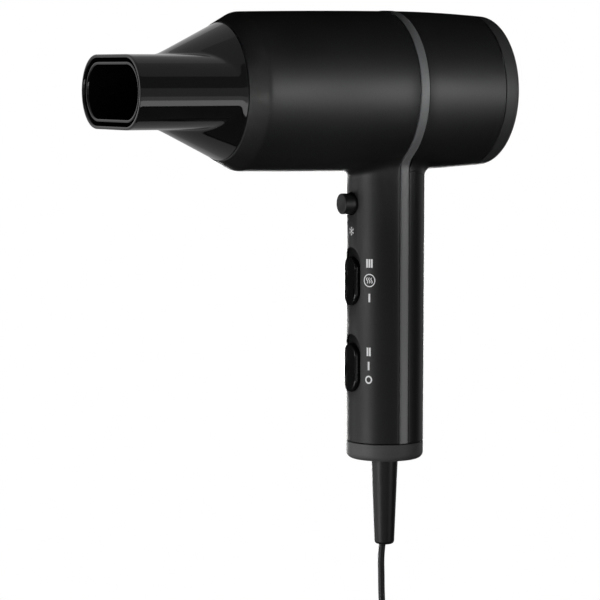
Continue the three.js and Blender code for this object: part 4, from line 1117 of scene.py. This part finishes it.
def smooth_path(points, step):
    """A centripetal curve through the points, sampled about every step."""
    points = [Vector(p) * MM for p in points]
    ends = [points[0] * 2 - points[1], *points, points[-1] * 2 - points[-2]]
    path = [points[0]]
    for p0, p1, p2, p3 in zip(ends, ends[1:], ends[2:], ends[3:]):
        t1 = (p1 - p0).length ** 0.5
        t2 = t1 + (p2 - p1).length ** 0.5
        t3 = t2 + (p3 - p2).length ** 0.5
        count = max(1, round((p2 - p1).length / step))
        for i in range(1, count + 1):
            t = t1 + (t2 - t1) * i / count
            a1 = p0 * ((t1 - t) / t1) + p1 * (t / t1)
            a2 = p1 * ((t2 - t) / (t2 - t1)) + p2 * ((t - t1) / (t2 - t1))
            a3 = p2 * ((t3 - t) / (t3 - t2)) + p3 * ((t - t2) / (t3 - t2))
            b1 = a1 * ((t2 - t) / t2) + a2 * (t / t2)
            b2 = a2 * ((t3 - t) / (t3 - t1)) + a3 * ((t - t1) / (t3 - t1))
            path.append(b1 * ((t2 - t) / (t2 - t1)) + b2 * ((t - t1) / (t2 - t1)))
    return path


def twin_section(width, thickness):
    """The outline of a flat twin cord: two round cores side by side."""
    radius = thickness / 2
    shift = (width - thickness) / 2
    half = math.pi - math.acos(shift / radius)
    right = [(shift + radius * math.cos(a), radius * math.sin(a))
             for a in [-half + 2 * half * i / 12 for i in range(13)]]
    return right[:-1] + [(-x, -y) for x, y in right[:-1]]


def swept_cord(name, path, section):
    """A tube swept along the path. Its wide side starts level and turns upright into the coil."""
    tangents = [(path[min(i + 1, len(path) - 1)] - path[max(i - 1, 0)]).normalized() for i in range(len(path))]
    wide = Vector((0.466, 0.885, 0))
    vertices, faces = [], []
    count = len(section)
    for i, (place, tangent) in enumerate(zip(path, tangents)):
        wide = (wide - tangent * wide.dot(tangent)).normalized()
        upright = Z_AXIS - tangent * tangent.z
        share = smooth_step((-0.158 - place.z) / 0.02)
        turned = wide
        if share > 0 and upright.length > 1e-3:
            upright.normalize()
            if upright.dot(wide) < 0:
                upright.negate()
            angle = math.atan2(wide.cross(upright).dot(tangent), wide.dot(upright))
            turned = Matrix.Rotation(angle * share, 3, tangent) @ wide
            if share == 1:
                wide = turned.copy()
        thin = tangent.cross(turned)
        vertices += [place + turned * u + thin * v for u, v in section]
        if i:
            a, b = (i - 1) * count, i * count
            faces += [(a + k, a + (k + 1) % count, b + (k + 1) % count, b + k) for k in range(count)]
    faces.append(tuple(range(count))[::-1])
    faces.append(tuple(range(len(vertices) - count, len(vertices))))
    mesh = bpy.data.meshes.new(name)
    mesh.from_pydata(vertices, [], faces)
    obj = bpy.data.objects.new(name, mesh)
    bpy.context.collection.objects.link(obj)
    close_up(obj)
    return obj


class DRYER_OT_cord(bpy.types.Operator):
    """Model the strain relief, the mains cord with its coil and tie, and the plug"""
    bl_idname = "dryer.cord"
    bl_label = "Cord"

    def execute(self, context):
        black = FINISHES["cord_black"]
        low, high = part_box("cord_boot")
        neck_r, top_r = 5.3 * MM, 7.2 * MM
        seat = BASE_BOTTOM - SEAM
        flange = BASE_BOTTOM + sizes().wall + SEAM
        nose = arc((neck_r - 1.9 * MM, low.z + 1.9 * MM), 1.9 * MM, -90, -2, 7)
        boot = turned_z("strain_relief", [
            (0, low.z), *nose, (top_r - 0.1 * MM, seat - 0.5 * MM), (top_r - 0.5 * MM, seat), (neck_r, seat),
            (neck_r, flange), (neck_r + 3 * MM, flange), (neck_r + 3 * MM, high.z), (0, high.z)], 64)
        bore = turned_z("bore", [
            (0, low.z - MM), (3.15 * MM, low.z - MM), (3.15 * MM, high.z + MM), (0, high.z + MM)], 40, CORD_EXIT.x)
        combine(boot, bore, "DIFFERENCE")
        finish_piece(boot, "housing", "cord_black", black, "cord_boot")

        low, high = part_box("plug_body")
        centre = (low + high) / 2
        half_height = high.z - centre.z
        shape = [(0, 0), (3.6, 0), (4, -0.4), (4.3, -5), (4.8, -8.5), (6.2, -11.3), (8.6, -13.8), (12.2, -17.2),
                 (15.2, -20), (16.8, -22.4), (17.5, -25.4), (17.5, -36.8), (17.1, -37.6), (16.3, -38), (0, -38)]
        points = [(high.x + x * MM, centre.y, centre.z + r * MM) for r, x in shape]
        plug = spun("plug", points, centre, X_AXIS, 72)
        with editing(plug):
            bpy.ops.mesh.select_all(action="SELECT")
            bpy.ops.transform.resize(
                value=(1, 1, half_height / (17.5 * MM)), center_override=(centre.x, centre.y, centre.z))
        finish_piece(plug, "housing", "cord_black", black, "plug_body")
        for node in ("plug_pin_left", "plug_pin_right"):
            low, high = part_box(node)
            centre = (low + high) / 2
            radius = high.z - centre.z
            tip = arc((0, 0), 1.2 * MM, 90, 180, 5)
            pairs = [(low.x, 0)] + [
                (low.x + 1.2 * MM + a, radius - 1.2 * MM + b) for a, b in reversed(tip)] + [(high.x, radius), (high.x, 0)]
            pin = spun(node.replace("plug_", "contact_"), [(x, centre.y, centre.z + r) for x, r in pairs],
                       centre, X_AXIS, 32)
            finish_piece(pin, "housing", "pin_metal", FINISHES["pin_metal"], node)

        low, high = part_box("cord_tie")
        thick = 0.7 * MM
        x0, x1 = low.x + thick / 2, high.x - thick / 2
        z0, z1 = low.z + thick / 2, high.z - thick / 2
        corner = 1.6 * MM
        loop = []
        for cx, cz, start in (
                (x1 - corner, z1 - corner, 0), (x0 + corner, z1 - corner, 90),
                (x0 + corner, z0 + corner, 180), (x1 - corner, z0 + corner, 270)):
            loop += [(a, low.y, b) for a, b in arc((cx, cz), corner, start, start + 90, 5)]
        tie = outline("coil_tie", loop + loop[:1])
        with editing(tie):
            bpy.ops.mesh.select_all(action="SELECT")
            bpy.ops.mesh.remove_doubles(threshold=1e-6)
            bpy.ops.mesh.extrude_edges_move(TRANSFORM_OT_translate={"value": (0, high.y - low.y, 0)})
        close_up(tie)
        choose(tie)
        band = tie.modifiers.new("Thickness", "SOLIDIFY")
        band.thickness = thick
        band.offset = 0
        bpy.ops.object.modifier_apply(modifier=band.name)
        finish_piece(tie, "housing", "cord_black", black, "cord_tie")

        path = smooth_path([*DROP_ROUTE, *coil_points(), *TAIL_ROUTE], 2.4 * MM)
        section = twin_section(sizes().cord_width, sizes().cord_thickness)
        cord = swept_cord("mains_cord", path, section)
        finish_piece(cord, "housing", "cord_black", black, "cord_drop", "cord_coil", "cord_tail", angle=50)
        return {"FINISHED"}


# ---------------------------------------------------------------- inner parts
class DRYER_OT_inner_parts(bpy.types.Operator):
    """Give every carried-over part its finish"""
    bl_idname = "dryer.inner_parts"
    bl_label = "Inner parts"

    def execute(self, context):
        for node, slot in slot_of_nodes().items():
            obj = frame["nodes"][node]
            if obj.material_slots:
                for place in obj.material_slots:
                    place.material = FINISHES[slot]
            else:
                obj.data.materials.append(FINISHES[slot])
        return {"FINISHED"}


# ---------------------------------------------------------------- studio
CAMERA_PLACE = Vector((-0.7066, -1.2437, 0.1265))
CAMERA_TURN = (math.radians(85.10), 0, math.radians(-27.79))
CAMERA_LENS = 161.64
WHITE = (1, 1, 1, 1)


def soft_light(name, place, aim, width, height, radiance, spread=180.0, linked=None):
    """A rectangular soft light that the camera doesn't see. linked limits the pieces that it lights."""
    data = bpy.data.lights.new(name, "AREA")
    data.shape = "RECTANGLE"
    data.size = width
    data.size_y = height
    data.energy = radiance * math.pi * width * height
    data.spread = math.radians(spread)
    light = bpy.data.objects.new(name, data)
    light.location = place
    light.rotation_euler = (Vector(aim) - Vector(place)).to_track_quat("-Z", "Y").to_euler()
    light.visible_camera = False
    light.light_linking.receiver_collection = linked
    bpy.context.collection.objects.link(light)
    return light


def receivers(name, objects, state):
    """A collection that includes pieces in a light's reach, or leaves them out."""
    group = bpy.data.collections.new(name)
    for obj in objects:
        group.objects.link(obj)
    for entry in group.collection_objects:
        entry.light_linking.link_state = state
    return group


# Long cards round the nozzle's axis: from one angle to another about it, in degrees from level, and how bright.
NOZZLE_CARDS = (
    (-42, -25, 1.8), (-25, -13, 0.6), (-13, 12, 0.27), (12, 48, 0.09), (48, 98, 0.24),
    (98, 140, 0.34), (140, 180, 0.6), (-180, -140, 0.42), (-140, -98, 0.3), (-95, -46, 0.04),
)


def nozzle_cards(linked):
    """The polished nozzle mirrors a room of long cards."""
    reach = 1.1
    for number, (start, end, radiance) in enumerate(NOZZLE_CARDS):
        ends = [Vector((0.1, -reach * math.cos(math.radians(a)), BARREL_Z + reach * math.sin(math.radians(a))))
                for a in (start, end)]
        centre = (ends[0] + ends[1]) / 2
        soft_light(
            f"nozzle_card_{number}", centre, (0.1, 0, BARREL_Z), 3.6, (ends[1] - ends[0]).length, radiance,
            linked=linked)


def white_world(fill):
    """A pure white background for the camera, and a dim room for everything else."""
    world = bpy.data.worlds.new("studio")
    bpy.context.scene.world = world
    world.use_nodes = True
    nodes, links = world.node_tree.nodes, world.node_tree.links
    background = nodes["Background"]
    path = nodes.new("ShaderNodeLightPath")
    mix = nodes.new("ShaderNodeMix")
    mix.data_type = "RGBA"
    mix.inputs["A"].default_value = (fill, fill, fill, 1)
    mix.inputs["B"].default_value = WHITE
    links.new(path.outputs["Is Camera Ray"], mix.inputs["Factor"])
    links.new(mix.outputs["Result"], background.inputs["Color"])


class DRYER_OT_studio(bpy.types.Operator):
    """Set up the camera, the white floor and the lights"""
    bl_idname = "dryer.studio"
    bl_label = "Studio"

    def execute(self, context):
        data = bpy.data.cameras.new("camera")
        data.lens = CAMERA_LENS
        data.sensor_width = 36
        data.clip_start = 0.05
        camera = bpy.data.objects.new("camera", data)
        camera.location = CAMERA_PLACE
        camera.rotation_euler = CAMERA_TURN
        context.collection.objects.link(camera)
        context.scene.camera = camera

        material = bpy.data.materials.new("floor_white")
        material.use_nodes = True
        nodes, links = material.node_tree.nodes, material.node_tree.links
        nodes.remove(nodes["Principled BSDF"])
        glow = nodes.new("ShaderNodeEmission")
        glow.inputs["Color"].default_value = WHITE
        links.new(glow.outputs["Emission"], nodes["Material Output"].inputs["Surface"])
        clear_selection()
        bpy.ops.mesh.primitive_circle_add(
            vertices=96, radius=stage().floor_size, fill_type="NGON", location=(0, 0, FLOOR_Z))
        floor = context.object
        floor.name = "floor"
        floor.data.materials.append(material)
        floor.visible_diffuse = False
        floor.visible_glossy = False
        floor.visible_shadow = False

        white_world(stage().fill_light)
        barrel = stage().barrel_light
        side = stage().side_light
        shiny = [bpy.data.objects[name] for name in ("nozzle_outer", "nozzle_inner")]
        others = receivers("matt_pieces", shiny, "EXCLUDE")
        nozzle_cards(receivers("shiny_pieces", shiny, "INCLUDE"))
        grip = (0, 0, -0.02)
        slides = [bpy.data.objects[name] for name in ("speed_slider", "heat_slider")]
        plain = receivers("plain_pieces", shiny + slides, "EXCLUDE")
        trim = receivers("trim_pieces", [bpy.data.objects["band"]], "INCLUDE")
        soft_light("barrel_strip", (0.72, -1.42, 0.165), (-0.03, 0, 0.125), 0.9, 0.05, 0.74 * barrel, 7, others)
        soft_light("shoulder_strip", (-0.78, -1.2, -0.08), (-0.05, 0, 0.15), 0.5, 0.05, 0.68 * barrel, 8, others)
        soft_light("side_softbox", (-1.35, -0.1, -0.32), grip, 0.26, 0.8, 4.9 * side, 120, others)
        soft_light("left_back", (-1.1, 1.0, -0.32), grip, 1.1, 0.8, 0.6 * side, 120, plain)
        soft_light("trim_strip", (0.65, -1.12, -0.12), (0, 0, -0.03), 0.06, 0.6, 6.4, 60, trim)
        soft_light("right_strip", (0.65, -1.12, -0.12), (0, 0, -0.03), 0.06, 0.6, 2.4, 60, others)
        soft_light("right_side", (1.3, 0.55, -0.12), grip, 0.4, 0.6, 0.4, 120, others)
        soft_light("low_front", (-0.62, -1.1, -0.42), grip, 1.4, 0.4, 0.34, 120, others)
        soft_light("back_light", (0.55, 1.5, -0.1), grip, 1.2, 0.5, 8.0, 120, others)
        context.scene.view_settings.view_transform = "Standard"
        return {"FINISHED"}


# ---------------------------------------------------------------- panel, registration and run
OPERATORS = (
    DRYER_OT_finishes, DRYER_OT_cord, DRYER_OT_housing, DRYER_OT_caps, DRYER_OT_outlet, DRYER_OT_nozzle,
    DRYER_OT_switches, DRYER_OT_marks, DRYER_OT_inner_parts, DRYER_OT_studio,
)


class DRYER_PT_panel(bpy.types.Panel):
    """Lists the dryer's settings and the steps that model it"""
    bl_idname = "DRYER_PT_panel"
    bl_label = "Hair Dryer"
    bl_space_type = "VIEW_3D"
    bl_region_type = "UI"
    bl_category = "Hair Dryer"

    def draw(self, context):
        layout = self.layout
        for settings in (sizes(), finish(), stage()):
            for name in settings.bl_rna.properties.keys():
                if name not in {"rna_type", "name"}:
                    layout.prop(settings, name)
        for operator in OPERATORS:
            layout.operator(operator.bl_idname)


CLASSES = (DryerSizes, DryerFinish, DryerStage, *OPERATORS, DRYER_PT_panel)


def register():
    for cls in CLASSES:
        bpy.utils.register_class(cls)
    bpy.types.Scene.dryer_sizes = PointerProperty(type=DryerSizes)
    bpy.types.Scene.dryer_finish = PointerProperty(type=DryerFinish)
    bpy.types.Scene.dryer_stage = PointerProperty(type=DryerStage)


def unregister():
    for name in ("dryer_sizes", "dryer_finish", "dryer_stage"):
        delattr(bpy.types.Scene, name)
    for cls in reversed(CLASSES):
        bpy.utils.unregister_class(cls)


def main():
    register()
    for operator in OPERATORS:
        group, name = operator.bl_idname.split(".")
        getattr(getattr(bpy.ops, group), name)()


if __name__ == "__main__":
    main()
